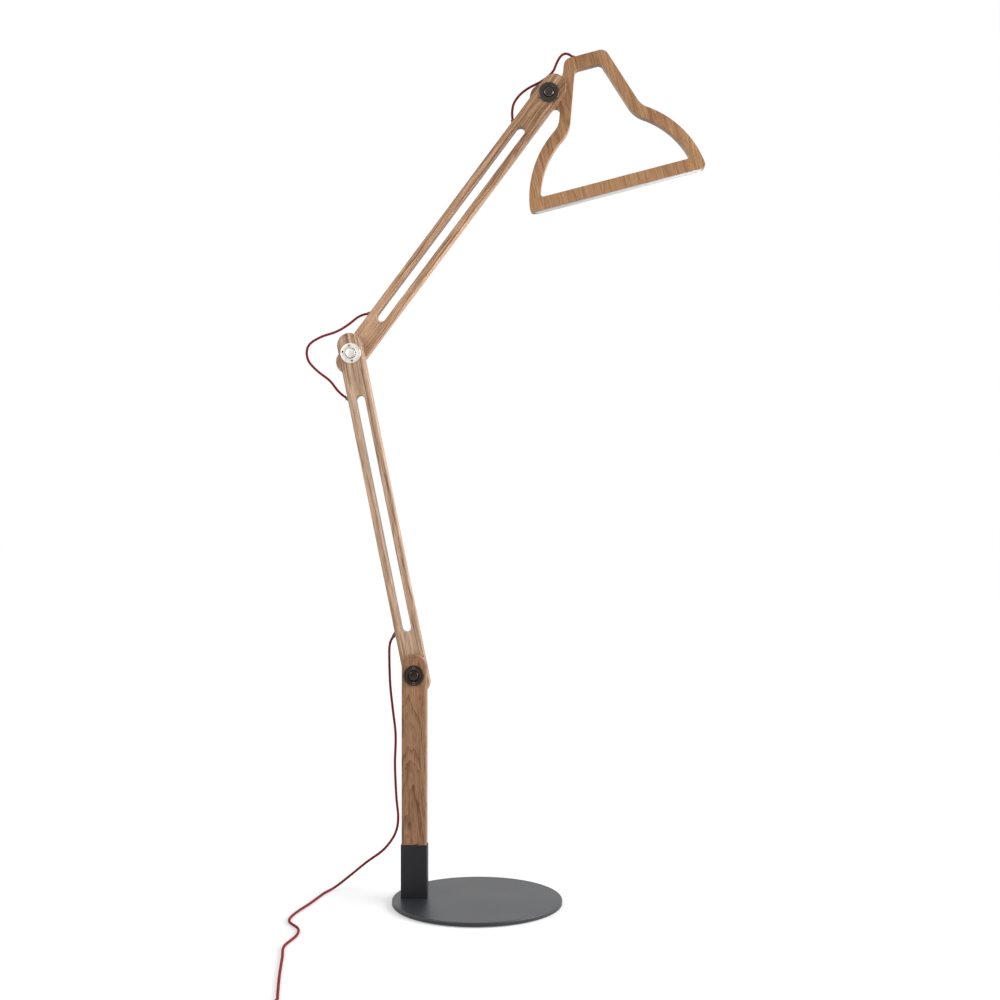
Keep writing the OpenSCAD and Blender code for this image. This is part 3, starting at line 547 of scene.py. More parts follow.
@dataclass(frozen=True)
class TimberFinish(Finish):
    """Brown varnished timber, its grain turned and shifted for one board."""

    name: str
    lean: float
    pith: Tuple[float, float, float]
    tint: Colour
    ring_spacing: float = 0.008
    taper: float = 0.02
    line: float = 0.6
    fibre: float = 2.4
    fleck: float = 0.3
    # Tone added per metre of height above a given level, so the board grows darker towards its upper end.
    tone_rise: float = 0.0
    tone_rise_from: float = 0.0
    wander: float = 0.02
    drift: float = 0.5
    end_calm: float = 0.8
    middle_tone: float = 0.45
    pore_depth: float = 0.00012
    gloss: float = 0.25

    def shade(self, share: float, warmth: float) -> Colour:
        """The board's colour times a share, with a further factor on green and twice on blue."""
        red, green, blue = self.tint
        return (red * share, green * share * warmth, blue * share * warmth * warmth)

    def dress(self, sheet: NodeSheet) -> Dict:
        """Timber from the shared figure group, calmer where the grain's ends show."""
        tilt = (0, -math.radians(self.lean), 0)
        turned = sheet.add("Mapping", {"Vector": self.place(sheet), "Rotation": tilt}).outputs[0]
        shifted = sheet.add("Mapping", {"Vector": turned, "Location": self.pith}).outputs[0]
        figure = self.use(sheet, EffectGroups.timber(), {
            "Vector": shifted, "Ring Spacing": self.ring_spacing, "Taper": self.taper, "Wander": self.wander,
        })
        normal = sheet.add("TexCoord").outputs["Normal"]
        facing = sheet.add("Mapping", {"Vector": normal, "Rotation": tilt}, vector_type="VECTOR").outputs[0]
        lengthways = sheet.parts(facing)[2]
        calm = sheet.math("MULTIPLY", sheet.math("MULTIPLY", lengthways, lengthways), self.end_calm)
        fibre = sheet.math("MULTIPLY_ADD", calm, sheet.math("SUBTRACT", 0.5, figure["Fibre"]), figure["Fibre"])
        flecks = sheet.math("MULTIPLY", figure["Flecks"], sheet.math("SUBTRACT", 1.0, calm))
        streak = sheet.math("MULTIPLY_ADD", fibre, self.fibre, self.middle_tone - self.fibre / 2)
        drift = sheet.math("MULTIPLY_ADD", figure["Cloud"], self.drift, -self.drift / 2)
        ringed = sheet.math("MULTIPLY_ADD", figure["Rings"], self.line, drift)
        # The tone rises with height above the given level, darker towards the board's upper end.
        risen_tone = sheet.math("MULTIPLY_ADD", sheet.parts(shifted)[2], self.tone_rise, -self.tone_rise * self.tone_rise_from)
        tone = sheet.math("ADD", sheet.math("ADD", ringed, streak), risen_tone, clamp=True)
        stops = [(0.0, self.shade(1.35, 1.06)), (self.middle_tone, self.tint), (0.75, self.shade(0.68, 0.92)),
                 (1.0, self.shade(0.4, 0.86))]
        pores = sheet.math("MULTIPLY", flecks, self.fleck)
        sunk = sheet.math("MULTIPLY_ADD", flecks, -0.8, sheet.math("MULTIPLY", fibre, 0.5))
        return {
            "Base Color": sheet.mix(pores, sheet.ramp(tone, stops), self.shade(0.5, 0.9)),
            "Roughness": sheet.math("MULTIPLY_ADD", figure["Fibre"], 0.2, 0.22),
            "Specular IOR Level": self.gloss,
            "Normal": self.raised(sheet, sunk, self.pore_depth),
        }


@dataclass(frozen=True)
class CoatedFinish(Finish):
    """Powder coat, moulded plastic, rubber or felt: one colour with fine grain and a slow drift."""

    name: str
    colour: Colour
    roughness: float = 0.5
    grain: float = 0.00004
    fine_scale: float = 2500.0
    drift_scale: float = 22.0
    contrast: float = 0.18
    metallic: float = 0.0
    sheen: float = 0.0
    gloss: float = 0.5
    rough_span: float = 0.14

    def dress(self, sheet: NodeSheet) -> Dict:
        """Coating from the shared speckle group."""
        speckle = self.use(sheet, EffectGroups.speckle(), {
            "Vector": self.place(sheet), "Fine Scale": self.fine_scale, "Drift Scale": self.drift_scale,
        })
        fine, drift = speckle["Fine"], speckle["Drift"]
        tone = sheet.math("MULTIPLY_ADD", fine, 0.4, sheet.math("MULTIPLY", drift, 0.6))
        smooth = self.roughness - self.rough_span / 2
        return {
            "Base Color": self.between(sheet, tone, self.colour, (1.0 - self.contrast, 1.0 + self.contrast)),
            "Roughness": sheet.math("MULTIPLY_ADD", drift, self.rough_span, smooth),
            "Metallic": self.metallic,
            "Sheen Weight": self.sheen,
            "Specular IOR Level": self.gloss,
            "Normal": self.raised(sheet, fine, self.grain),
        }


@dataclass(frozen=True)
class PlatedFinish(CoatedFinish):
    """Plated or plain metal with a very fine grain."""

    grain: float = 0.00001
    fine_scale: float = 1200.0
    drift_scale: float = 90.0
    contrast: float = 0.1
    metallic: float = 1.0


@dataclass(frozen=True)
class ScrewFinish(PlatedFinish):
    """Plated screw, with painted shade in the socket that its mesh marks."""

    def dress(self, sheet: NodeSheet) -> Dict:
        """Plating, with painted shade from the attribute on the socket's floor."""
        inputs = super().dress(sheet)
        return {**inputs, "Base Color": self.with_painted_shade(sheet, inputs["Base Color"])}


@dataclass(frozen=True)
class TurnedMetal(Finish):
    """Turned metal with lathe marks about one pivot, and painted shade in the hollows that its mesh marks."""

    name: str
    colour: Colour
    centre: Tuple[float, float, float]
    roughness: float = 0.22
    pitch: float = 0.0005
    rough_span: float = 0.2
    mark_depth: float = 0.00002

    def dress(self, sheet: NodeSheet) -> Dict:
        """Metal from the shared lathe group."""
        shift = tuple(-part for part in self.centre)
        placed = sheet.add("Mapping", {"Vector": self.place(sheet), "Location": shift}).outputs[0]
        lathe = self.use(sheet, EffectGroups.turning(), {"Vector": placed, "Pitch": self.pitch})
        smooth = self.roughness - self.rough_span / 2
        colour = self.between(sheet, lathe["Marks"], self.colour, (0.82, 1.12))
        return {
            "Base Color": self.with_painted_shade(sheet, colour),
            "Roughness": sheet.math("MULTIPLY_ADD", lathe["Smudge"], self.rough_span, smooth),
            "Metallic": 1.0,
            "Normal": self.raised(sheet, lathe["Marks"], self.mark_depth),
        }


@dataclass(frozen=True)
class BraidedFinish(Finish):
    """Dark red braided textile on the cord's own UV map."""

    name: str
    bright: Colour = (0.28, 0.016, 0.022)
    deep: Colour = (0.09, 0.006, 0.009)
    pitch: float = 0.0024
    strands: float = 6.0
    thread_depth: float = 0.0003
    gloss: float = 0.2

    def dress(self, sheet: NodeSheet) -> Dict:
        """Textile from the shared braid group."""
        uv = sheet.add("UVMap", uv_map="UVMap").outputs[0]
        braid = self.use(sheet, EffectGroups.braid(), {"UV": uv, "Pitch": self.pitch, "Strands": self.strands})
        shade = sheet.math("MULTIPLY_ADD", braid["Fuzz"], 0.5, -0.25)
        lay = sheet.math("MULTIPLY_ADD", braid["Lay"], 0.14, shade)
        tone = sheet.math("ADD", sheet.math("MULTIPLY", braid["Thread"], 0.8), lay, clamp=True)
        return {
            "Base Color": sheet.ramp(tone, [(0.05, self.deep), (0.9, self.bright)]),
            "Roughness": sheet.math("MULTIPLY_ADD", braid["Fuzz"], 0.2, 0.66),
            "Specular IOR Level": self.gloss,
            "Normal": self.raised(sheet, braid["Thread"], self.thread_depth),
        }


class Finishes:
    """The lamp's finishes, named for what they cover."""

    post_wood = TimberFinish(
        "post_wood", 0.0, pith=(0.131, 0.03, 0.21), tint=(0.272, 0.143, 0.075), ring_spacing=0.011, taper=0.14,
        line=0.8, fibre=2.8, wander=0.05)
    lower_wood = TimberFinish(
        "lower_wood", SIZES.lower_lean, pith=(0.07, 0.06, 0.4), tint=(0.445, 0.295, 0.198), taper=0.012,
        line=0.7, fibre=3.2)
    upper_wood = TimberFinish(
        "upper_wood", SIZES.upper_lean, pith=(1.12, 0.045, 0.1), tint=(0.405, 0.24, 0.142), taper=0.014,
        line=0.9, fibre=3.4, tone_rise=0.6, tone_rise_from=1.15)
    head_wood = TimberFinish(
        "head_wood", SIZES.head_lean, pith=(-0.12, 0.05, 0.3), tint=(0.335, 0.18, 0.09), ring_spacing=0.011,
        taper=0.016, line=0.25, fleck=0.4, tone_rise=0.6, tone_rise_from=1.77)
    plate = CoatedFinish(
        "plate_coat", (0.019, 0.0205, 0.0235), 0.42, grain=0.00003, fine_scale=1800.0, drift_scale=7.0,
        gloss=0.53)
    sleeve = CoatedFinish(
        "sleeve_coat", (0.0135, 0.0135, 0.0158), 0.42, grain=0.00003, fine_scale=1800.0, drift_scale=12.0,
        gloss=0.25)
    felt = CoatedFinish(
        "base_felt", (0.02, 0.02, 0.022), 0.95, grain=0.0004, fine_scale=900.0, drift_scale=60.0, contrast=0.4,
        sheen=0.4)
    plastic = CoatedFinish("moulded_black", (0.018, 0.018, 0.02), 0.48, grain=0.00006, fine_scale=1500.0)
    brown = CoatedFinish("moulded_brown", (0.12, 0.062, 0.036), 0.5, grain=0.00006, fine_scale=1500.0)
    soft_black = CoatedFinish("soft_black", (0.016, 0.016, 0.018), 0.7, fine_scale=2200.0)
    button = CoatedFinish("button_gloss", (0.03, 0.03, 0.032), 0.25, grain=0.00001, fine_scale=1500.0)
    fibre = CoatedFinish("washer_fibre", (0.04, 0.035, 0.03), 0.8, grain=0.0001, fine_scale=1600.0)
    acetal = CoatedFinish("bush_acetal", (0.7, 0.69, 0.65), 0.4, grain=0.00001, fine_scale=900.0)
    cap_white = CoatedFinish("cap_white", (0.6, 0.59, 0.57))
    board_white = CoatedFinish("solder_mask", (0.8, 0.8, 0.78), 0.4, grain=0.00001)
    phosphor = CoatedFinish("chip_phosphor", (0.8, 0.62, 0.16), 0.3, grain=0.00001)
    opal = CoatedFinish("opal_cover", (0.62, 0.605, 0.58), 0.45, grain=0.00001, drift_scale=18.0, contrast=0.03)
    zinc = PlatedFinish("zinc_plate", (0.55, 0.55, 0.56), 0.32)
    bright_screw = ScrewFinish("bright_screw", (0.62, 0.61, 0.6), 0.4)
    dark_screw = ScrewFinish("dark_screw", (0.2, 0.19, 0.18), 0.3)
    spring = PlatedFinish("spring_steel", (0.34, 0.34, 0.35), 0.35, drift_scale=60.0, contrast=0.12)
    channel = PlatedFinish(
        "anodised_channel", (0.6, 0.6, 0.61), 0.35, fine_scale=1500.0, drift_scale=40.0, contrast=0.06)
    pins = PlatedFinish("pin_nickel", (0.6, 0.57, 0.5), 0.25, fine_scale=900.0, drift_scale=80.0, contrast=0.08)
    cord = BraidedFinish("braided_cord")


class Piece:
    """Turns a finished shape into an object of the lamp."""

    sharp_angle = math.radians(35.0)

    @classmethod
    def finish(
        cls, bm: bmesh.types.BMesh, name: str, finish: Finish, slot: str, nodes: Sequence[str],
        body: Optional[Body], place: Optional[Matrix] = None,
    ) -> bpy.types.Object:
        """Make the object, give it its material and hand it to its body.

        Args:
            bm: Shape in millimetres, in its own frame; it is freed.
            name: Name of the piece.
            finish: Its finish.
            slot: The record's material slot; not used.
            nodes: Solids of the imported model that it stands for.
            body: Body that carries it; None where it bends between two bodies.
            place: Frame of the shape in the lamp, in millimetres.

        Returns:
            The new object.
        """
        bmesh.ops.remove_doubles(bm, verts=bm.verts[:], dist=0.002)
        bmesh.ops.recalc_face_normals(bm, faces=bm.faces[:])
        matrix = Matrix.Diagonal((MM, MM, MM, 1)) @ (place or Matrix.Identity(4))
        bmesh.ops.transform(bm, matrix=matrix, verts=bm.verts[:])
        mesh = bpy.data.meshes.new(name)
        bm.to_mesh(mesh)
        bm.free()
        mesh.polygons.foreach_set("use_smooth", [True] * len(mesh.polygons))
        mesh.set_sharp_from_angle(angle=cls.sharp_angle)
        mesh.materials.append(finish.material())
        piece = bpy.data.objects.new(name, mesh)
        bpy.context.scene.collection.objects.link(piece)
        if body:
            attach(piece, body.value)
        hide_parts(*nodes)
        LOG.info("piece %s: %d faces", name, len(mesh.polygons))
        return piece

    @staticmethod
    def keep(node: str, finish: Finish) -> None:
        """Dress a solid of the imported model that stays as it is.

        Args:
            node: Name of the solid.
            finish: Its finish.
        """
        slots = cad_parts[node].data.materials
        slots.clear()
        slots.append(finish.material())
        LOG.info("kept %s", node)


class Shapes:
    """Small shape makers on bmesh operators, in millimetres."""

    @staticmethod
    def bevel(bm: bmesh.types.BMesh, edges: Iterable[bmesh.types.BMEdge], size: float,
              segments: int = 3) -> None:
        """Round some edges.

        Args:
            bm: Shape to work on.
            edges: The edges.
            size: Width of the round.
            segments: Steps of the round.
        """
        bmesh.ops.bevel(
            bm, geom=list(edges), offset=size, offset_type="OFFSET", segments=segments, profile=0.5,
            affect="EDGES", material=-1, clamp_overlap=True, loop_slide=False,
        )

    @staticmethod
    def sharp_edges(bm: bmesh.types.BMesh, least: float = 50.0) -> List[bmesh.types.BMEdge]:
        """Edges between two faces that meet at some angle or more."""
        limit = math.radians(least)
        return [e for e in bm.edges if len(e.link_faces) == 2 and e.calc_face_angle(0.0) > limit]

    @classmethod
    def turned(
        cls, profile: Sequence[Tuple[float, float]], rounds: Optional[Dict[int, float]] = None,
        steps: int = 64, segments: int = 3,
    ) -> bmesh.types.BMesh:
        """A turned shape about the Y axis.

        Args:
            profile: Radius and distance along Y of each corner.
            rounds: Numbers of the corners to round, with the size of each round.
            steps: Steps of the full turn.
            segments: Steps of a round.

        Returns:
            The shape.
        """
        bm = bmesh.new()
        corners = [bm.verts.new((radius, along, 0)) for radius, along in profile]
        for first, second in zip(corners, corners[1:]):
            bm.edges.new((first, second))
        bmesh.ops.spin(
            bm, geom=bm.verts[:] + bm.edges[:], cent=(0, 0, 0), axis=(0, 1, 0), dvec=(0, 0, 0),
            angle=math.tau, steps=steps, use_merge=True, use_duplicate=False,
        )
        bmesh.ops.remove_doubles(bm, verts=bm.verts[:], dist=0.001)
        bmesh.ops.recalc_face_normals(bm, faces=bm.faces[:])
        for corner, size in (rounds or {}).items():
            radius, along = profile[corner]
            ring = [e for e in bm.edges if all(
                abs(math.hypot(v.co.x, v.co.z) - radius) < 0.01 and abs(v.co.y - along) < 0.01 for v in e.verts)]
            cls.bevel(bm, ring, size, segments)
        return bm

    @staticmethod
    def cube(size: Sequence[float], middle: Sequence[float]) -> bmesh.types.BMesh:
        """A plain block.

        Args:
            size: Its width, depth and height.
            middle: Its middle.

        Returns:
            The shape.
        """
        bm = bmesh.new()
        bmesh.ops.create_cube(bm, size=1.0)
        bmesh.ops.scale(bm, vec=size, verts=bm.verts[:])
        bmesh.ops.translate(bm, vec=middle, verts=bm.verts[:])
        return bm

    @staticmethod
    def verts_of(geometry: Sequence) -> List[bmesh.types.BMVert]:
        """The vertices among some geometry."""
        return [part for part in geometry if isinstance(part, bmesh.types.BMVert)]

    @classmethod
    def sink(cls, bm: bmesh.types.BMesh, faces: List[bmesh.types.BMFace], lip: float, rise: float) -> None:
        """Move faces into a shape, inside a lip.

        Args:
            bm: The shape.
            faces: The faces.
            lip: Width of the lip.
            rise: How far they move along Z.
        """
        bmesh.ops.inset_region(bm, faces=faces, thickness=lip, use_even_offset=True)
        made = bmesh.ops.extrude_face_region(bm, geom=faces)["geom"]
        bmesh.ops.delete(bm, geom=faces, context="FACES_ONLY")
        bmesh.ops.translate(bm, vec=(0, 0, rise), verts=cls.verts_of(made))

    @classmethod
    def block(
        cls, size: Sequence[float], middle: Sequence[float], ease: float, segments: int = 2,
    ) -> bmesh.types.BMesh:
        """A block with eased edges.

        Args:
            size: Its width, depth and height.
            middle: Its middle.
            ease: Round of its edges.
            segments: Steps of the round.

        Returns:
            The shape.
        """
        bm = cls.cube(size, middle)
        cls.bevel(bm, bm.edges[:], ease, segments)
        return bm

    @classmethod
    def housing(
        cls, width: float, length: float, height: float, corner: float, ease_top: float, ease_foot: float,
    ) -> bmesh.types.BMesh:
        """A housing with round upright corners, standing on z = 0.

        Args:
            width: Size along X.
            length: Size along Y.
            height: Size along Z.
            corner: Radius of the upright corners.
            ease_top: Round of the upper edge.
            ease_foot: Round of the lower edge.

        Returns:
            The shape.
        """
        bm = cls.cube((width, length, height), (0, 0, height / 2))
        upright = [e for e in bm.edges if abs(e.verts[0].co.z - e.verts[1].co.z) > height / 2]
        cls.bevel(bm, upright, corner, 8)
        for level, ease in ((height, ease_top), (0.0, ease_foot)):
            rim = [e for e in bm.edges if all(abs(v.co.z - level) < 0.001 for v in e.verts)]
            cls.bevel(bm, rim, ease, 3)
        return bm

    @staticmethod
    def join(target: bmesh.types.BMesh, source: bmesh.types.BMesh, place: Optional[Matrix] = None) -> None:
        """Add one shape to another.

        Args:
            target: Shape that grows.
            source: Shape that is added; it is freed.
            place: Frame of the added shape.
        """
        if place:
            bmesh.ops.transform(source, matrix=place, verts=source.verts[:])
        carrier = bpy.data.meshes.new("carrier")
        source.to_mesh(carrier)
        source.free()
        target.from_mesh(carrier)
        bpy.data.meshes.remove(carrier)

    @staticmethod
    def bored(bm: bmesh.types.BMesh, cutter: bmesh.types.BMesh) -> bmesh.types.BMesh:
        """Take a tool out of a closed shape.

        Args:
            bm: The shape; it is freed.
            cutter: The tool; it is freed.

        Returns:
            What is left.
        """
        objects = []
        for name, shape in (("stock", bm), ("tool", cutter)):
            mesh = bpy.data.meshes.new(name)
            bmesh.ops.recalc_face_normals(shape, faces=shape.faces[:])
            shape.to_mesh(mesh)
            shape.free()
            thing = bpy.data.objects.new(name, mesh)
            bpy.context.scene.collection.objects.link(thing)
            objects.append(thing)
        cut = objects[0].modifiers.new("cut", "BOOLEAN")
        cut.operation = "DIFFERENCE"
        cut.solver = "EXACT"
        cut.object = objects[1]
        seen = objects[0].evaluated_get(bpy.context.evaluated_depsgraph_get())
        result = bmesh.new()
        result.from_mesh(seen.to_mesh())
        seen.to_mesh_clear()
        for thing in objects:
            data = thing.data
            bpy.data.objects.remove(thing)
            bpy.data.meshes.remove(data)
        return result

    @staticmethod
    def mark_painted_shade(bm: bmesh.types.BMesh, deep: Callable[[Vector], bool]) -> None:
        """Mark the vertices of hollows, where finishes paint shade into their colour.

        Args:
            bm: The shape.
            deep: True for the place of a vertex in a hollow, which gets painted shade.
        """
        layer = bm.verts.layers.float.new(PAINTED_SHADE_LAYER)
        for vert in bm.verts:
            vert[layer] = 1.0 if deep(vert.co) else 0.0

    @staticmethod
    def socket_face(radius: float, across: float, depth: float, y: float) -> bmesh.types.BMesh:
        """A round face towards -Y with a six-sided socket in it.

        Args:
            radius: Radius of the face.
            across: Corner radius of the socket.
            depth: Depth of the socket.
            y: Place of the face.

        Returns:
            The open shape.
        """
        bm = bmesh.new()
        at = Matrix.Translation((0, y, 0)) @ UPRIGHT
        bmesh.ops.create_circle(bm, cap_ends=False, radius=radius, segments=32, matrix=at)
        inner = bmesh.ops.create_circle(bm, cap_ends=False, radius=across, segments=6, matrix=at)["verts"]
        hexagon = [e for e in bm.edges if all(v in inner for v in e.verts)]
        bmesh.ops.triangle_fill(bm, edges=bm.edges[:], use_beauty=True)
        bm.faces.ensure_lookup_table()
        inside = [f for f in bm.faces if all(v in inner for v in f.verts)]
        if inside:
            bmesh.ops.delete(bm, geom=inside, context="FACES_ONLY")
        wall = bmesh.ops.extrude_edge_only(bm, edges=hexagon)["geom"]
        bmesh.ops.translate(bm, vec=(0, depth, 0), verts=Shapes.verts_of(wall))
        bmesh.ops.contextual_create(bm, geom=[e for e in wall if isinstance(e, bmesh.types.BMEdge)])
        return bm


class OutlinePen:
    """Draws closed outlines in X and Z with lines and arcs."""

    chord = 1.6

    def __init__(self, bm: bmesh.types.BMesh) -> None:
        """Keep the shape to draw in."""
        self.bm = bm
        self.first: Optional[bmesh.types.BMVert] = None
        self.tip: Optional[bmesh.types.BMVert] = None

    def start(self, x: float, z: float) -> "OutlinePen":
        """Put the pen down.

        Args:
            x: Place across.
            z: Place up.

        Returns:
            The pen.
        """
        self.first = self.bm.verts.new((x, 0, z))
        self.tip = self.first
        return self

    def line(self, x: float, z: float) -> "OutlinePen":
        """Draw a straight line.

        Args:
            x: End across.
            z: End up.

        Returns:
            The pen.
        """
        made = bmesh.ops.extrude_vert_indiv(self.bm, verts=[self.tip])
        self.tip = made["verts"][0]
        self.tip.co = (x, 0, z)
        return self

    def arc(self, x: float, z: float, degrees: float) -> "OutlinePen":
        """Draw an arc about a middle, counter-clockwise as seen from the front.

        Args:
            x: Middle across.
            z: Middle up.
            degrees: Sweep; negative is clockwise.

        Returns:
            The pen.
        """
        radius = math.hypot(self.tip.co.x - x, self.tip.co.z - z)
        steps = max(5, int(abs(math.radians(degrees)) * radius / self.chord))
        made = bmesh.ops.spin(
            self.bm, geom=[self.tip], cent=(x, 0, z), axis=(0, 1, 0), dvec=(0, 0, 0),
            angle=-math.radians(degrees), steps=steps, use_merge=False, use_duplicate=False,
        )
        self.tip = Shapes.verts_of(made["geom_last"])[0]
        return self

    def close(self) -> None:
        """Join the end to the start."""
        gap = (self.tip.co - self.first.co).length
        if gap > 0.01:
            self.bm.edges.new((self.tip, self.first))
            return
        bmesh.ops.pointmerge(self.bm, verts=[self.first, self.tip], merge_co=self.first.co)

    def oblong(self, half: float, low: float, high: float) -> None:
        """Draw an upright oblong with round ends."""
        self.start(half, low).line(half, high).arc(0, high, 180.0)
        self.line(-half, low).arc(0, low, 180.0).close()

    def ring(self, x: float, z: float, radius: float) -> None:
        """Draw a whole circle."""
        self.start(x + radius, z).arc(x, z, 360.0).close()


class Board:
    """A flat board cut to an outline, with eased edges."""

    @staticmethod
    def cut(bm: bmesh.types.BMesh, y0: float, bores: Sequence[Tuple[float, float, float]],
            ease: float = SIZES.board_ease) -> bmesh.types.BMesh:
        """Fill drawn outlines, give them the board's thickness and ease the edges.

        Args:
            bm: Shape that holds the closed outlines.
            y0: Front face of the board.
            bores: Across, up and radius of each bore to drill.
            ease: Round of the edges.

        Returns:
            The same shape, now a board.
        """
        pen = OutlinePen(bm)
        for x, z, radius in bores:
            pen.ring(x, z, radius)
        bmesh.ops.translate(bm, vec=(0, y0, 0), verts=bm.verts[:])
        bmesh.ops.triangle_fill(bm, edges=bm.edges[:], use_beauty=True)
        made = bmesh.ops.extrude_face_region(bm, geom=bm.faces[:])["geom"]
        bmesh.ops.translate(bm, vec=(0, SIZES.board_t, 0), verts=Shapes.verts_of(made))
        bmesh.ops.recalc_face_normals(bm, faces=bm.faces[:])

        def in_bore(vert: bmesh.types.BMVert) -> bool:
            """Whether a corner lies on a drilled bore."""
            return any(abs(math.hypot(vert.co.x - x, vert.co.z - z) - r) < 0.05 for x, z, r in bores)

        rims = [e for e in Shapes.sharp_edges(bm) if abs(e.verts[0].co.y - e.verts[1].co.y) < 0.01]
        eased = [e for e in rims if not in_bore(e.verts[0])]
        Shapes.bevel(bm, eased, ease, 5)
        return bm


class Studio:
    """Camera, lights, floor and background."""

    azimuth = 4.0
    distance = 2768.0
    height = 766.0
    aside = 45.6
    focal_px = 1384.0
    horizon_px = 520.0
    image_px = 1000.0
    sensor = 36.0
    even_light = 0.62
    room_light = 0.4
    room_reach = 0.7
    floor_size = 30.0
    floor_drop = 0.0005
    floor_grey = (0.6, 0.6, 0.6, 1.0)
    floor_lift = 0.32
    floor_rise = 0.35
    floor_spread = 0.3
    floor_gloss = 0.15

    def camera(self) -> None:
        """Place the camera as in the photograph."""
        turn = math.radians(self.azimuth)
        right = Vector((math.cos(turn), math.sin(turn), 0))
        ahead = Vector((-math.sin(turn), math.cos(turn), 0))
        data = bpy.data.cameras.new("camera")
        data.sensor_width = self.sensor
        data.lens = self.focal_px / self.image_px * self.sensor
        data.shift_y = (self.horizon_px - self.image_px / 2) / self.image_px
        data.clip_end = 100.0
        camera = bpy.data.objects.new("camera", data)
        spot = self.aside * right - self.distance * ahead + Vector((0, 0, self.height))
        camera.location = spot * MM
        camera.rotation_euler = (math.radians(90.0), 0, turn)
        bpy.context.scene.collection.objects.link(camera)
        bpy.context.scene.camera = camera

    @staticmethod
    def lamp(name: str, spot: Tuple[float, float, float], aim: Tuple[float, float, float], size: float,
             power: float) -> None:
        """Add a soft square light.

        Args:
            name: Its name.
            spot: Where it stands, in metres.
            aim: Point that it faces, in metres.
            size: Side of its square, in metres.
            power: Power in watts.
        """
        data = bpy.data.lights.new(name, "AREA")
        data.size = size
        data.energy = power
        light = bpy.data.objects.new(name, data)
        light.location = spot
        light.rotation_euler = (Vector(aim) - Vector(spot)).to_track_quat("-Z", "Y").to_euler()
        bpy.context.scene.collection.objects.link(light)

    @staticmethod
    def seen_directly(sheet: NodeSheet) -> bpy.types.NodeSocket:
        """1 for what the camera, a gloss or a glass sees, and 0 for light on surfaces."""
        path = sheet.add("LightPath").outputs
        first = sheet.math("MAXIMUM", path["Is Camera Ray"], path["Is Glossy Ray"])
        return sheet.math("MAXIMUM", first, path["Is Transmission Ray"])

    def world(self) -> None:
        """White background, an even light a little below it, and a dimmer room behind the camera."""
        world = bpy.data.worlds.new("studio")
        bpy.context.scene.world = world
        world.use_nodes = True
        world.node_tree.nodes.clear()
        sheet = NodeSheet(world.node_tree)
        level = sheet.math("MULTIPLY_ADD", self.seen_directly(sheet), 1.0 - self.even_light, self.even_light)
        towards = sheet.parts(sheet.add("TexCoord").outputs["Generated"])[1]
        slope = (1.0 - self.room_light) / self.room_reach
        room = sheet.math("MULTIPLY_ADD", towards, slope, self.room_light + slope, clamp=True)
        around = sheet.math("MULTIPLY", level, room)
        strength = sheet.math("MAXIMUM", around, sheet.add("LightPath").outputs["Is Camera Ray"])
        light = sheet.add("Background", {"Color": WHITE, "Strength": strength})
        sheet.add("OutputWorld", {"Surface": light.outputs[0]})

    def floor(self) -> None:
        """White floor that keeps the lamp's soft shadow, brighter to the camera further out."""
        bm = bmesh.new()
        bmesh.ops.create_grid(bm, x_segments=1, y_segments=1, size=self.floor_size)
        mesh = bpy.data.meshes.new("floor")
        bm.to_mesh(mesh)
        bm.free()
        floor = bpy.data.objects.new("floor", mesh)
        floor.location = (0, 0, -self.floor_drop)
        bpy.context.scene.collection.objects.link(floor)
        material = bpy.data.materials.new("studio_floor")
        material.use_nodes = True
        material.node_tree.nodes.clear()
        sheet = NodeSheet(material.node_tree)
        path = sheet.add("LightPath").outputs
        clear = sheet.math("ADD", path["Is Camera Ray"], path["Is Transmission Ray"])
        spot = sheet.add("TexCoord").outputs["Object"]
        away = sheet.add("VectorMath", {0: spot}, operation="LENGTH").outputs["Value"]
        spread = sheet.math("MULTIPLY", away, self.floor_spread, clamp=True)
        lift = sheet.math("MULTIPLY_ADD", spread, self.floor_rise, self.floor_lift)
        seen = sheet.math("MULTIPLY", clear, lift)
        strength = sheet.math("MULTIPLY_ADD", path["Is Glossy Ray"], self.floor_gloss, seen)
        matt = sheet.add("BsdfDiffuse", {"Color": self.floor_grey})
        white = sheet.add("Emission", {"Color": WHITE, "Strength": strength})
        both = sheet.add("AddShader", {0: matt.outputs[0], 1: white.outputs[0]})
        sheet.add("OutputMaterial", {"Surface": both.outputs[0]})
        mesh.materials.append(material)
        floor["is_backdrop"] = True

    def build(self) -> None:
        """Set the whole studio up."""
        bpy.context.scene.view_settings.view_transform = "Standard"
        self.camera()
        self.world()
        self.lamp("key", (2.9, -1.3, 1.7), (0, 0, 0.9), 2.0, 84.0)
        self.lamp("fill", (-2.4, -2.2, 2.1), (0, 0, 0.9), 2.0, 56.0)
        self.lamp("side", (2.7, 0.2, 1.3), (0, 0, 1.0), 1.6, 62.0)
        self.floor()


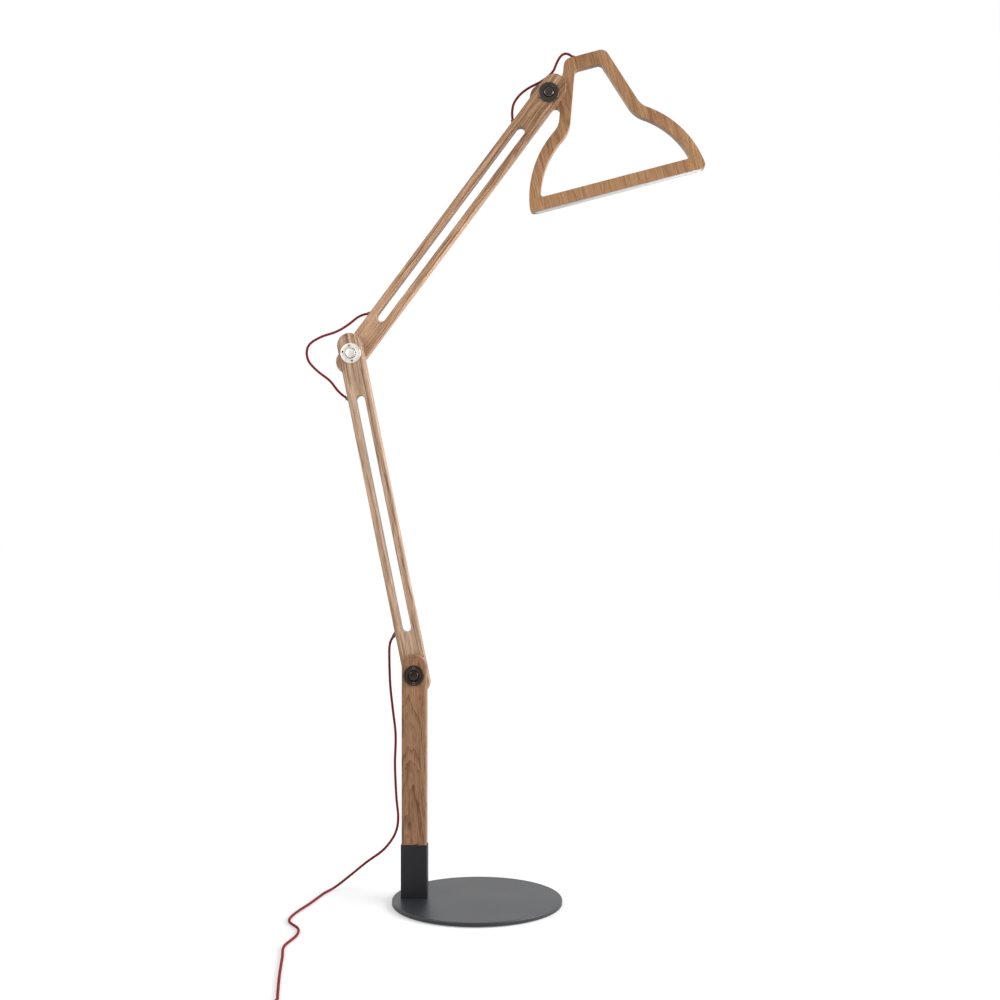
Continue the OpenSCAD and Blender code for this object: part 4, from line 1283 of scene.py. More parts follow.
@dataclass
class CordRun:
    """One free length of the braided cord."""

    name: str
    nodes: Tuple[str, ...]
    points: List[Vector]
    spacing: float = 3.0
    sides: int = 14

    def curve(self, steps: int = 12) -> List[Vector]:
        """Smooth line through the route's points, in millimetres.

        Args:
            steps: Steps between two points of the route.

        Returns:
            The line's points.
        """
        p = self.points
        last = len(p) - 1
        made = []
        for k in range(last):
            a, b, c, d = p[max(k - 1, 0)], p[k], p[k + 1], p[min(k + 2, last)]
            for s in range(steps):
                t = s / steps
                made.append(0.5 * (
                    2 * b + t * (c - a) + t * t * (2 * a - 5 * b + 4 * c - d)
                    + t * t * t * (3 * b - a - 3 * c + d)
                ))
        return made + [p[last]]

    def line(self, passes: int = 4) -> List[Vector]:
        """The curve in even steps, eased like a cord that can't kink.

        Args:
            passes: How often the line is eased.

        Returns:
            The line's points.
        """
        curve = self.curve()
        even = [curve[0]]
        left = self.spacing
        for a, b in zip(curve, curve[1:]):
            run = (b - a).length
            while run > left:
                a = a + (b - a) * (left / run)
                even.append(a)
                run = (b - a).length
                left = self.spacing
            left -= run
        even[-1] = curve[-1]
        for _ in range(passes):
            eased = [(a + 2 * b + c) / 4 for a, b, c in zip(even, even[1:], even[2:])]
            even = [even[0]] + eased + [even[-1]]
        return even

    def build(self, body: Optional[Body]) -> Tuple[bpy.types.Object, List[Vector]]:
        """Sweep the cord's round along its line.

        Args:
            body: Body that carries it; None where it bends between two.

        Returns:
            The cord and the line that it follows, in metres.
        """
        line = self.line()
        ends = len(line) - 1
        headings = [(line[min(k + 1, ends)] - line[max(k - 1, 0)]).normalized() for k in range(ends + 1)]
        turn = Vector((0, 0, 1)).rotation_difference(headings[0]).to_matrix().to_4x4()
        bm = bmesh.new()
        along = bm.verts.layers.float.new("along")
        around = bm.verts.layers.float.new("around")
        frame_now = Matrix.Translation(line[0]) @ turn
        radius = SIZES.cord_d / 2
        bmesh.ops.create_circle(bm, cap_ends=False, radius=radius, segments=self.sides, matrix=frame_now)
        for vert in bm.verts:
            local = frame_now.inverted() @ vert.co
            vert[around] = (math.atan2(local.y, local.x) / math.tau) % 1.0
        ring = bm.edges[:]
        travelled = 0.0
        for k in range(1, ends + 1):
            travelled += (line[k] - line[k - 1]).length
            bend = headings[k - 1].rotation_difference(headings[k]).to_matrix().to_4x4()
            turn = bend @ turn
            frame_next = Matrix.Translation(line[k]) @ turn
            made = bmesh.ops.extrude_edge_only(bm, edges=ring)["geom"]
            verts = Shapes.verts_of(made)
            bmesh.ops.transform(bm, matrix=frame_next @ frame_now.inverted(), verts=verts)
            for vert in verts:
                vert[along] = travelled * MM
            fresh = set(verts)
            ring = [e for e in made if isinstance(e, bmesh.types.BMEdge) and set(e.verts) <= fresh]
            frame_now = frame_next
        uv = bm.loops.layers.uv.new("UVMap")
        for face in bm.faces:
            wraps = max(v[around] for v in face.verts) - min(v[around] for v in face.verts) > 0.5
            for loop in face.loops:
                share = loop.vert[around]
                loop[uv].uv = (loop.vert[along], share + 1.0 if wraps and share < 0.5 else share)
        bmesh.ops.holes_fill(bm, edges=[e for e in bm.edges if e.is_boundary], sides=0)
        piece = Piece.finish(bm, self.name, Finishes.cord, "red_cord", self.nodes, body)
        return piece, [point * MM for point in line]


def route(*points: Tuple[float, float, float]) -> List[Vector]:
    """Points as vectors."""
    return [Vector(point) for point in points]


def ends_at(frame_of_outlet: Matrix, out: float) -> List[Vector]:
    """Cord's last points at an outlet, in line with the bore."""
    heights = (out - SIZES.cord_tuck, out, out + SIZES.cord_straight)
    return [frame_of_outlet @ Vector((0, 0, height)) for height in heights]


@dataclass
class FloorSet:
    """Foot switch, plug and coil on the floor, in front of the lamp."""

    switch_x: float = -266.0
    switch_y: float = -678.0
    switch_w: float = 34.0
    switch_len: float = 76.0
    switch_base_h: float = 9.0
    switch_cover_h: float = 9.0
    switch_corner: float = 9.0
    switch_step: float = 2.0
    button_d: float = 21.0
    button_proud: float = 4.0
    button_travel: float = 2.5
    button_fit: float = 0.3
    strain_len: float = 20.0
    strain_d: float = 12.0
    tail_len: float = 19.0
    coil_r: float = 36.0
    coil_turns: float = 2.5
    coil_step: float = 6.2
    coil_z: float = 3.9
    tie_w: float = 7.0
    tie_t: float = 1.0
    tie_fit: float = 0.4
    plug_lead: float = 26.0
    plug_w: float = 40.0
    plug_h: float = 24.0
    plug_len: float = 56.0
    plug_face_t: float = 4.0
    plug_corner: float = 6.0
    pin_d: float = 4.0
    pin_pitch: float = 19.0
    pin_len: float = 19.0

    @property
    def relief_end(self) -> float:
        """Distance from the switch's middle to the tip of a strain relief."""
        return self.switch_len / 2 + self.strain_len

    @property
    def coil_mid(self) -> Vector:
        """Middle of the coil on the floor."""
        far = self.switch_y - self.relief_end - self.tail_len - SIZES.cord_d
        return Vector((self.switch_x + self.coil_r, far, 0))

    @property
    def plug_x(self) -> float:
        """Place of the plug across."""
        return self.coil_mid.x + self.coil_r

    @property
    def plug_y(self) -> float:
        """Tip of the plug's strain relief."""
        return self.coil_mid.y + self.plug_lead - SIZES.cord_tuck

    def coil_points(self) -> List[Vector]:
        """Route of the coil: in on the lower layer, up in half a turn, out on the upper layer."""
        start, inner_end = 180.0, 180.0 + 360.0 * self.coil_turns
        climb_end = inner_end + 180.0
        out_end = climb_end + 360.0 * self.coil_turns
        inner_r = self.coil_r - self.coil_turns * self.coil_step
        points = []
        count = int((out_end - start) / 15.0)
        for k in range(count + 1):
            a = start + 15.0 * k
            if a < inner_end:
                r, z = self.coil_r - self.coil_step * (a - start) / 360.0, self.coil_z
            elif a < climb_end:
                r, z = inner_r, self.coil_z + self.coil_step * (a - inner_end) / 180.0
            else:
                r, z = inner_r + self.coil_step * (a - climb_end) / 360.0, self.coil_z + self.coil_step
            turn = math.radians(a)
            points.append(self.coil_mid + Vector((r * math.cos(turn), r * math.sin(turn), z)))
        return points

    def reliefs(self, count: int = 5) -> bmesh.types.BMesh:
        """A tapered strain relief along +Y with grooves round it.

        Args:
            count: Number of grooves.

        Returns:
            The shape.
        """
        inner = SIZES.ferrule_in_d / 2
        tip = inner + 0.6
        wide = self.strain_d / 2
        profile = [(inner, 0.0), (wide, 0.0), (wide, self.strain_len / 8)]
        span = self.strain_len * 0.7
        for k in range(count):
            near = self.strain_len * 0.17 + span * k / count
            for share, sunk in ((0.0, 0.0), (0.15, 0.55), (0.42, 0.55), (0.57, 0.0)):
                y = near + span / count * share
                taper = wide + (tip - wide) * (y - self.strain_len / 8) / (self.strain_len * 7 / 8)
                profile.append((taper - sunk * (1 - 0.5 * k / count), y))
        profile += [(tip, self.strain_len), (inner, self.strain_len), (inner, 0.0)]
        return Shapes.turned(profile, steps=40)

    def switch(self) -> Dict[str, bpy.types.Object]:
        """Build the foot switch.

        Returns:
            Its pieces by name.
        """
        spot = Matrix.Translation((self.switch_x, self.switch_y, 0))
        base = Shapes.housing(self.switch_w, self.switch_len, self.switch_base_h, self.switch_corner, 0.5, 1.2)
        pieces = [Piece.finish(base, "switch_lower_half", Finishes.plastic, "black_plastic", ["switch_base"],
                               Body.BASE, spot)]
        pieces.append(self.cover(spot @ Matrix.Translation((0, 0, self.switch_base_h))))
        for name, turn in (("switch_relief_in", 0.0), ("switch_relief_out", 180.0)):
            place = spot @ Matrix.Rotation(math.radians(turn), 4, "Z")
            place = place @ Matrix.Translation((0, self.switch_len / 2, self.switch_base_h))
            pieces.append(Piece.finish(self.reliefs(), name, Finishes.soft_black, "soft_black", ["switch_reliefs"],
                                       Body.BASE, place))
        rise = self.switch_base_h + self.button_travel + self.button_fit
        top = self.switch_cover_h + self.button_proud - self.button_travel - self.button_fit
        radius = self.button_d / 2
        profile = [(0, 0), (radius, 0), (radius, top - 0.4), (radius * 0.7, top), (radius * 0.45, top - 0.5),
                   (0, top - 0.9)]
        lying = Shapes.turned(profile, {2: 1.4}, 64, 4)
        upright = spot @ Matrix.Translation((0, 0, rise)) @ UPRIGHT
        pieces.append(Piece.finish(lying, "switch_push_button", Finishes.button, "button_plastic", ["switch_button"],
                                   Body.BUTTON, upright))
        return {piece.name: piece for piece in pieces}

    def cover(self, place: Matrix) -> bpy.types.Object:
        """Build the switch's upper half with its round opening.

        Args:
            place: Frame of the half, on its parting face.

        Returns:
            The piece.
        """
        bm = Shapes.housing(self.switch_w, self.switch_len, self.switch_cover_h, self.switch_corner, 2.6, 0.4)
        cutter = bmesh.new()
        bmesh.ops.create_cone(cutter, cap_ends=True, segments=64, radius1=self.button_d / 2 + self.button_fit,
                              radius2=self.button_d / 2 + self.button_fit, depth=4 * self.switch_cover_h)
        return Piece.finish(Shapes.bored(bm, cutter), "switch_upper_half", Finishes.plastic, "black_plastic",
                            ["switch_cover"], Body.BASE, place)

    def plug(self) -> List[bpy.types.Object]:
        """Build the plug-in driver.

        Returns:
            The pieces on the cord.
        """
        case_y = self.plug_y + self.strain_len
        spot = Matrix.Translation((self.plug_x, case_y + self.plug_len, self.plug_h / 2))
        lay = spot @ UPRIGHT
        case = Shapes.housing(self.plug_w, self.plug_h, self.plug_len, self.plug_corner, 3.0, 0.5)
        pieces = [
            Piece.finish(case, "driver_case", Finishes.plastic, "black_plastic", ["plug_case"], Body.BASE, lay),
        ]
        face = Shapes.housing(self.plug_w - self.switch_step, self.plug_h - self.switch_step, self.plug_face_t,
                              self.plug_corner - 0.5, 0.4, 0.9)
        ahead = spot @ Matrix.Translation((0, self.plug_face_t, 0)) @ UPRIGHT
        pieces.append(Piece.finish(face, "driver_pin_plate", Finishes.plastic, "black_plastic", ["plug_face"],
                                   Body.BASE, ahead))
        pins = bmesh.new()
        radius = self.pin_d / 2
        length = self.plug_face_t + self.pin_len
        for side in (-1, 1):
            pin = Shapes.turned([(0, 0), (radius, 0), (radius, length), (0, length)], {2: 1.2}, 32, 4)
            Shapes.join(pins, pin, Matrix.Translation((side * self.pin_pitch / 2, 0, 0)))
        pieces.append(
            Piece.finish(pins, "driver_pins", Finishes.pins, "pin_brass", ["plug_pins"], Body.BASE, spot))
        back = Matrix.Translation((self.plug_x, case_y, self.coil_z + self.coil_step))
        back = back @ Matrix.Rotation(math.radians(180.0), 4, "Z")
        pieces.append(Piece.finish(self.reliefs(), "driver_strain_relief", Finishes.soft_black, "soft_black",
                                   ["plug_relief"], Body.BASE, back))
        return pieces

    def tie(self) -> bpy.types.Object:
        """Build the band round the coil.

        Returns:
            The piece.
        """
        half = SIZES.cord_d / 2 + self.tie_fit
        low = self.coil_r - self.coil_turns * self.coil_step - half
        high = self.coil_r - self.coil_step * 270.0 / 360.0 + half
        top = self.coil_z + self.coil_step + half
        bm = Shapes.cube((self.tie_w, high - low + 2 * self.tie_t, top + self.tie_t), (0, 0, 0))
        runs = [e for e in bm.edges if abs(e.verts[0].co.x - e.verts[1].co.x) > self.tie_w / 2]
        Shapes.bevel(bm, runs, 2.2, 5)
        sides = [f for f in bm.faces if abs(f.normal.x) > 0.9]
        bmesh.ops.delete(bm, geom=sides, context="FACES_ONLY")
        bmesh.ops.recalc_face_normals(bm, faces=bm.faces[:])
        bmesh.ops.solidify(bm, geom=bm.faces[:], thickness=self.tie_t)
        place = self.coil_mid + Vector((0, (low + high) / 2, (top + self.tie_t) / 2))
        return Piece.finish(bm, "coil_band", Finishes.plastic, "black_plastic", ["coil_tie"], Body.BASE,
                            Matrix.Translation(place))


class Cords:
    """The braided cord in its free lengths, with what hangs on it."""

    def __init__(self, floor_set: FloorSet) -> None:
        """Keep the pieces on the floor."""
        self.floor_set = floor_set

    def floor_lead(self, switch: Sequence[bpy.types.Object]) -> None:
        """Lead from the lower arm to the foot switch.

        Args:
            switch: Pieces of the switch; not used.
        """
        outlet = Places.lower() @ Places.outlet(SIZES.lower_y, SIZES.outlet_at, -1)
        first = ends_at(outlet, SIZES.relief_out)
        middle = route(
            (-180.8, 25, 508), (-181, 25, 490), (-180.5, 25, 465), (-178.8, 25, 428), (-173.5, 25, 380),
            (-168, 25, 330), (-169.5, 26, 270), (-167, 28, 205), (-163.5, 30, 160), (-171, 34, 127), (-195, 41, 94),
            (-232, 52, 65), (-270, 68, 32), (-302, 76, 6), (-318, 40, 2.6), (-330, -30, 2.6), (-346, -110, 2.6),
            (-345, -160, 2.6), (-318, -205, 2.6), (-312, -250, 2.6), (-320, -312, 2.6), (-309, -375, 2.6),
            (-292, -470, 2.6), (-274, -560, 2.6), (-268.5, -585, 3.6), (-266.5, -600, 7.2),
        )
        way_in = self.floor_set.switch_y + self.floor_set.relief_end
        height = self.floor_set.switch_base_h
        inwards = (-SIZES.cord_straight, 0, SIZES.cord_tuck)
        last = route(*[(self.floor_set.switch_x, way_in - d, height) for d in inwards])
        run = CordRun("cord_to_switch", ("floor_lead",), first + middle + last)
        piece, line = run.build(None)
        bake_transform(piece, Body.LOWER.value, Body.BASE.value, start=line[0], end=Vector((-168, 25, 330)) * MM)
        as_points(line)

    def put_away(self, fittings: Sequence[bpy.types.Object]) -> None:
        """Length between the switch and the plug, wound for storage.

        Args:
            fittings: The plug, the band round the coil and the switch's relief; not used.
        """
        floor_set = self.floor_set
        start = floor_set.switch_y - floor_set.relief_end
        x = floor_set.switch_x
        tail = route(
            (x, start + SIZES.cord_tuck, floor_set.switch_base_h),
            (x, start - floor_set.tail_len / 4, floor_set.switch_base_h),
            (x, start - floor_set.tail_len * 3 / 4, floor_set.coil_z),
            (x, start - floor_set.tail_len, floor_set.coil_z),
        )
        coil = floor_set.coil_points()
        points = tail + coil + [coil[-1] + Vector((0, floor_set.plug_lead, 0))]
        run = CordRun("cord_to_plug", ("lead_tail", "cord_coil"), points)
        piece, line = run.build(Body.BASE)
        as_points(line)

    def loops(self) -> None:
        """Free loops at the elbow and at the head."""
        low = Places.lower() @ Places.outlet(SIZES.lower_y, SIZES.arm_len - SIZES.outlet_at, 1)
        high = Places.upper() @ Places.outlet(SIZES.upper_y, SIZES.outlet_at, -1)
        middle = route(
            (-288, 27, 1030), (-304, 29, 1050), (-330, 31, 1070), (-350, 33, 1093.5), (-350, 37, 1121.5),
            (-326, 40, 1139.5), (-292, 43, 1151.5), (-267, 46, 1167), (-251, 49, 1180.5),
        )
        elbow = self.loop("cord_at_elbow", "elbow_loop", low, middle, high, (Body.LOWER, Body.UPPER), 0.30)
        self.turn_by_length(elbow)
        low = Places.upper() @ Places.outlet(SIZES.upper_y, SIZES.arm_len - SIZES.outlet_at, 1)
        high = Places.head() @ Places.inlet()
        middle = route(
            (67.5, 52.5, 1603.5), (71.5, 54.5, 1617), (84.5, 58, 1634.5), (102, 63, 1648.5), (127, 69, 1663),
            (148.5, 73, 1682), (155.5, 75, 1698.5), (160.5, 75, 1708.5), (164.5, 75, 1714.5), (170, 75, 1719),
            (176.5, 75, 1720.5),
        )
        self.loop("cord_at_head", "head_loop", low, middle, high, (Body.UPPER, Body.HEAD), 0.225)

    @staticmethod
    def loop(name: str, node: str, low: Matrix, middle: List[Vector], high: Matrix, bodies: Tuple[Body, Body],
             length: float) -> bpy.types.Object:
        """One free loop between two boards.

        Args:
            name: Name of the piece.
            node: Solid that it stands for.
            low: Frame of the outlet that it leaves.
            middle: Points between the outlets.
            high: Frame of the outlet that it enters.
            bodies: The two bodies that it joins.
            length: Free length in metres; not used.

        Returns:
            The loop, blended between the two bodies.
        """
        first = ends_at(low, SIZES.ferrule_out)
        last = ends_at(high, SIZES.ferrule_out)[::-1]
        piece, line = CordRun(name, (node,), first + middle + last).build(None)
        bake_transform(piece, bodies[0].value, bodies[1].value, start=line[0], end=line[-1])
        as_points(line)
        return piece

    @staticmethod
    def turn_by_length(piece: bpy.types.Object) -> None:
        """Set a blended loop's turn by its own length, one ramp for each leg, so that it folds without a pinch.
        """
        low_leg, ease = 0.4, 0.2

        def ramp(share: float) -> float:
            """Rise from 0 to 1 with eased ends."""
            share = min(max(share, 0.0), 1.0)
            if share < ease:
                return share ** 2 / (2 * ease * (1 - ease))
            if share > 1 - ease:
                return 1 - (1 - share) ** 2 / (2 * ease * (1 - ease))
            return (share - ease / 2) / (1 - ease)

        along = [spot.value for spot in piece.data.attributes["along"].data]
        half = max(along) / 2
        for weight, spot in zip(piece.data.attributes["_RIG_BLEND"].data, along):
            weight.value = low_leg * ramp(spot / half) + (1 - low_leg) * ramp(spot / half - 1)


class BaseStand:
    """Base plate, sleeve and post."""

    def plate(self) -> None:
        """Turned steel plate with an eased rim."""
        radius, low, top = SIZES.plate_d / 2, SIZES.pad_t, SIZES.plate_top
        lower_r, hold = 0.6, 0.8
        flat = SIZES.plate_rim_r + hold
        profile = [(0, low), (radius, low), (radius, low + lower_r + hold), (radius, top - flat), (radius, top),
                   (radius - flat, top), (0, top)]
        bm = Shapes.turned(profile, {4: SIZES.plate_rim_r, 1: lower_r}, 192, 4)
        Piece.finish(bm, "round_base", Finishes.plate, "base_steel", ["base_plate"], Body.BASE, UPRIGHT)
        Piece.keep("floor_pad", Finishes.felt)
        Piece.keep("socket_screws", Finishes.zinc)

    def sleeve(self) -> None:
        """Rectangular sleeve, open at the top, with eased corners."""
        width = SIZES.board_w + 2 * (SIZES.post_fit + SIZES.sleeve_wall)
        depth = SIZES.board_t + 2 * (SIZES.post_fit + SIZES.sleeve_wall)
        bm = Shapes.cube((width, depth, SIZES.sleeve_h), (0, 0, SIZES.sleeve_h / 2))
        upright = [e for e in bm.edges if abs(e.verts[0].co.z - e.verts[1].co.z) > 1.0]
        Shapes.bevel(bm, upright, 1.0, 3)
        top = [f for f in bm.faces if f.normal.z > 0.9]
        Shapes.sink(bm, top, SIZES.sleeve_wall, SIZES.sleeve_foot - SIZES.sleeve_h)
        bmesh.ops.recalc_face_normals(bm, faces=bm.faces[:])
        rim = [e for e in Shapes.sharp_edges(bm) if all(v.co.z > SIZES.sleeve_h - 0.01 for v in e.verts)]
        Shapes.bevel(bm, rim, 0.35, 2)
        place = Matrix.Translation((-SIZES.post_offset, 0, SIZES.plate_top))
        Piece.finish(bm, "post_sleeve", Finishes.sleeve, "black_steel", ["socket_sleeve"], Body.BASE, place)

    def post(self) -> None:
        """Upright board with a round upper end, and its screws at the back."""
        half = SIZES.board_w / 2
        foot = SIZES.plate_top + SIZES.sleeve_foot - SIZES.shoulder_h
        bm = bmesh.new()
        pen = OutlinePen(bm)
        pen.start(-half, foot).line(half, foot).line(half, SIZES.end_mid).arc(0, SIZES.end_mid, 180.0).close()
        Board.cut(bm, SIZES.post_y, [(0, 0, SIZES.bolt_hole_d / 2)])
        Piece.finish(bm, "post_board", Finishes.post_wood, "ash_wood", ["post"], Body.BASE, Places.post())
        screws = bmesh.new()
        seat = SIZES.board_t / 2 + SIZES.post_fit + SIZES.sleeve_wall
        tip, thread, head, face, socket, height = 15.35, 2.0, 4.0, 3.0, 1.4, 2.4
        for k in (0, 1):
            z = SIZES.plate_top + SIZES.sleeve_h - SIZES.post_screw_drop - k * SIZES.post_screw_pitch
            place = Matrix.Translation((-SIZES.post_offset, seat, z)) @ Matrix.Rotation(math.pi, 4, "Z")
            shank = Shapes.turned([
                (0, tip), (thread, tip - 2 * thread), (thread, 0.0), (head, 0.0), (head, -height), (face, -height),
            ], {4: 1.2})
            Shapes.join(screws, shank, place)
            Shapes.join(screws, Shapes.socket_face(face, socket, socket, -height), place)
        Piece.finish(screws, "post_screw_pair", Finishes.zinc, "zinc_screws", ["post_screws"], Body.BASE)

    def build(self) -> None:
        """Build the whole stand."""
        self.plate()
        self.sleeve()
        self.post()


@dataclass
class Arm:
    """A slotted arm with a round at each end."""

    name: str
    node: str
    body: Body
    place: Matrix
    y0: float
    finish: TimberFinish

    def build(self) -> None:
        """Cut the board and hand it to its body."""
        bm = bmesh.new()
        pen = OutlinePen(bm)
        pen.oblong(SIZES.board_w / 2, -SIZES.end_mid, SIZES.arm_len + SIZES.end_mid)
        narrow = SIZES.slot_w / 2
        pen.oblong(narrow, SIZES.slot_tip + narrow, SIZES.arm_len - SIZES.slot_tip - narrow)
        bores = [(0, 0, SIZES.bush_hole_d / 2), (0, SIZES.arm_len, SIZES.bolt_hole_d / 2)]
        Board.cut(bm, self.y0, bores)
        Piece.finish(bm, self.name, self.finish, "ash_wood", [self.node], self.body, self.place)


class LightHead:
    """Head cut as a lampshade outline, with the light strip in its lower edge."""

    def __init__(self) -> None:
        """Work out the outline's directions."""
        slope = math.radians(HEAD.neck_slope)
        self.normal = Vector((math.cos(slope), math.sin(slope)))
        self.upwards = Vector((-math.sin(slope), math.cos(slope)))
        self.reach = self.normal.dot(Vector((HEAD.neck_top_w / 2, HEAD.height)))
        self.wing_mid = Vector((-HEAD.wing_cross, -HEAD.wing_drop))

    def hollow(self, mid: Vector, radius: float, fillet: float, reach: float, way: float) -> Vector:
        """Middle of a hollow that touches the neck's side and a round.

        Args:
            mid: Middle of the round.
            radius: Radius of the round.
            fillet: Radius of the hollow.
            reach: Distance of the neck's side from the origin.
            way: 1 for the upper of the two, -1 for the lower.

        Returns:
            The middle.
        """
        off = reach + fillet - self.normal.dot(mid)
        along = math.sqrt((radius + fillet) ** 2 - off ** 2)
        return mid + off * self.normal + way * along * self.upwards

    @staticmethod
    def angle(v: Vector) -> float:
        """Direction of a flat vector, in degrees."""
        return math.degrees(math.atan2(v.y, v.x))

    def ear_arcs(self) -> List[Tuple[Vector, float]]:
        """Arcs of the pivot ear from the top down, on the left, as middle and sweep."""
        turn = math.radians(HEAD.ear_angle)
        mid = Vector((HEAD.pivot_u, HEAD.pivot_v)) + HEAD.ear_out * Vector((math.cos(turn), math.sin(turn)))
        low = self.hollow(mid, HEAD.ear_r, HEAD.ear_fillet_low, self.reach, -1)
        high = self.hollow(mid, HEAD.ear_r, HEAD.ear_fillet_high, self.reach, 1)
        low_angle = self.angle(mid - low)
        high_angle = self.angle(high - mid)
        return [
            (high, HEAD.neck_slope - high_angle),
            (mid, 180.0 + high_angle - low_angle),
            (low, low_angle - 180.0 - HEAD.neck_slope),
        ]

    def draw(self, pen: OutlinePen, inset: float, low: float, high: float, corners: Tuple[float, float],
             with_ear: bool) -> None:
        """Draw the lampshade outline, counter-clockwise from the lower right corner.

        Args:
            pen: Pen to draw with.
            inset: How far the sides move inwards.
            low: Height of the lower edge.
            high: Height of the upper edge.
            corners: Radius of the corners at the foot and at the top.
            with_ear: Whether the pivot ear is on the left.
        """
        radius = HEAD.wing_r - inset
        fillet = HEAD.wing_fillet + inset
        reach = self.reach - inset
        corner, top_corner = corners
        rise = low + corner - self.wing_mid.y
        foot = Vector((self.wing_mid.x + math.sqrt((radius - corner) ** 2 - rise ** 2), low + corner))
        hollow = self.hollow(self.wing_mid, radius, fillet, reach, 1)
        low_angle = self.angle(foot - self.wing_mid)
        high_angle = self.angle(hollow - self.wing_mid)
        top_z = high - top_corner
        top = Vector(((reach - top_corner - self.normal.y * top_z) / self.normal.x, top_z))
        at_top = top + top_corner * self.normal
        sweeps = (low_angle + 90.0, high_angle - low_angle, HEAD.neck_slope - high_angle)
        pen.start(foot.x, low)
        for mid, sweep in zip((foot, self.wing_mid, hollow), sweeps):
            pen.arc(mid.x, mid.y, sweep)
        pen.line(at_top.x, at_top.y).arc(top.x, top.y, 90.0 - HEAD.neck_slope)
        pen.line(-top.x, high).arc(-top.x, top.y, 90.0 - HEAD.neck_slope)
        if with_ear:
            arcs = self.ear_arcs()
            touch = arcs[0][0] - HEAD.ear_fillet_high * self.normal
            pen.line(-touch.x, touch.y)
            for mid, sweep in arcs:
                pen.arc(-mid.x, mid.y, sweep)
        touch = hollow - fillet * self.normal
        pen.line(-touch.x, touch.y)
        for mid, sweep in zip((hollow, self.wing_mid, foot), sweeps[::-1]):
            pen.arc(-mid.x, mid.y, sweep)
        pen.close()

    def board(self) -> None:
        """Cut the head's board, with the groove for the light strip."""
        bm = bmesh.new()
        pen = OutlinePen(bm)
        self.draw(pen, 0.0, 0.0, HEAD.height, (HEAD.outer_corner, HEAD.top_outer_corner), True)
        inner = (HEAD.inner_corner, HEAD.top_inner_corner)
        self.draw(pen, HEAD.side_bar, HEAD.bottom_bar, HEAD.height - HEAD.top_bar, inner, False)
        Board.cut(bm, SIZES.head_y, [(-HEAD.pivot_u, HEAD.pivot_v, SIZES.bush_hole_d / 2)], HEAD.ease)
        self.groove(bm)
        Piece.finish(bm, "head_board", Finishes.head_wood, "ash_wood", ["head_frame"], Body.HEAD, Places.head())

    @staticmethod
    def groove(bm: bmesh.types.BMesh) -> None:
        """Sink the strip's groove into the lower edge.

        Args:
            bm: The head's board.
        """
        lip = SIZES.board_t / 2 - HEAD.ease - HEAD.strip_w / 2

        def lower_flat(least: float) -> List[bmesh.types.BMFace]:
            """Flat faces of the lower edge with some least area."""
            bm.normal_update()
            flat = [f for f in bm.faces if f.normal.z < -0.99 and abs(f.calc_center_median().z) < 0.01]
            return [f for f in flat if f.calc_area() > least]

        for side in (-1, 1):
            for face in lower_flat(HEAD.strip_len * HEAD.strip_w * 0.9):
                bmesh.ops.bisect_plane(
                    bm, geom=[face, *face.edges, *face.verts], dist=0.001,
                    plane_co=(side * (HEAD.strip_len / 2 + lip), 0, 0), plane_no=(1, 0, 0),
                )
        middle = lower_flat(HEAD.strip_len * HEAD.strip_w * 0.9)
        Shapes.sink(bm, middle, lip, HEAD.strip_depth)

    def strip(self) -> None:
        """Opal cover and end caps of the light strip; what they hide stays as packed."""
        depth = HEAD.diffuser_t + HEAD.diffuser_leg
        middle = (0, SIZES.head_y + SIZES.board_t / 2, depth / 2 - HEAD.diffuser_proud)
        cover = Shapes.block((HEAD.diffuser_len, HEAD.diffuser_w, depth), middle, 0.5)
        Piece.finish(cover, "opal_strip", Finishes.opal, "opal", ["diffuser"], Body.HEAD, Places.head())
        caps = bmesh.new()
        for side in (-1, 1):
            spot = (side * (HEAD.diffuser_len + HEAD.cap_t) / 2, middle[1], HEAD.channel_h / 2)
            Shapes.join(caps, Shapes.block((HEAD.cap_t, HEAD.channel_w, HEAD.channel_h), spot, 0.3))
        Piece.finish(caps, "strip_caps", Finishes.cap_white, "cap_plastic", ["channel_caps"], Body.HEAD,
                     Places.head())
        for node, finish in (("led_channel", Finishes.channel), ("led_board", Finishes.board_white),
                             ("led_chips", Finishes.phosphor)):
            Piece.keep(node, finish)

    def build(self) -> None:
        """Build the whole head."""
        self.board()
        self.strip()


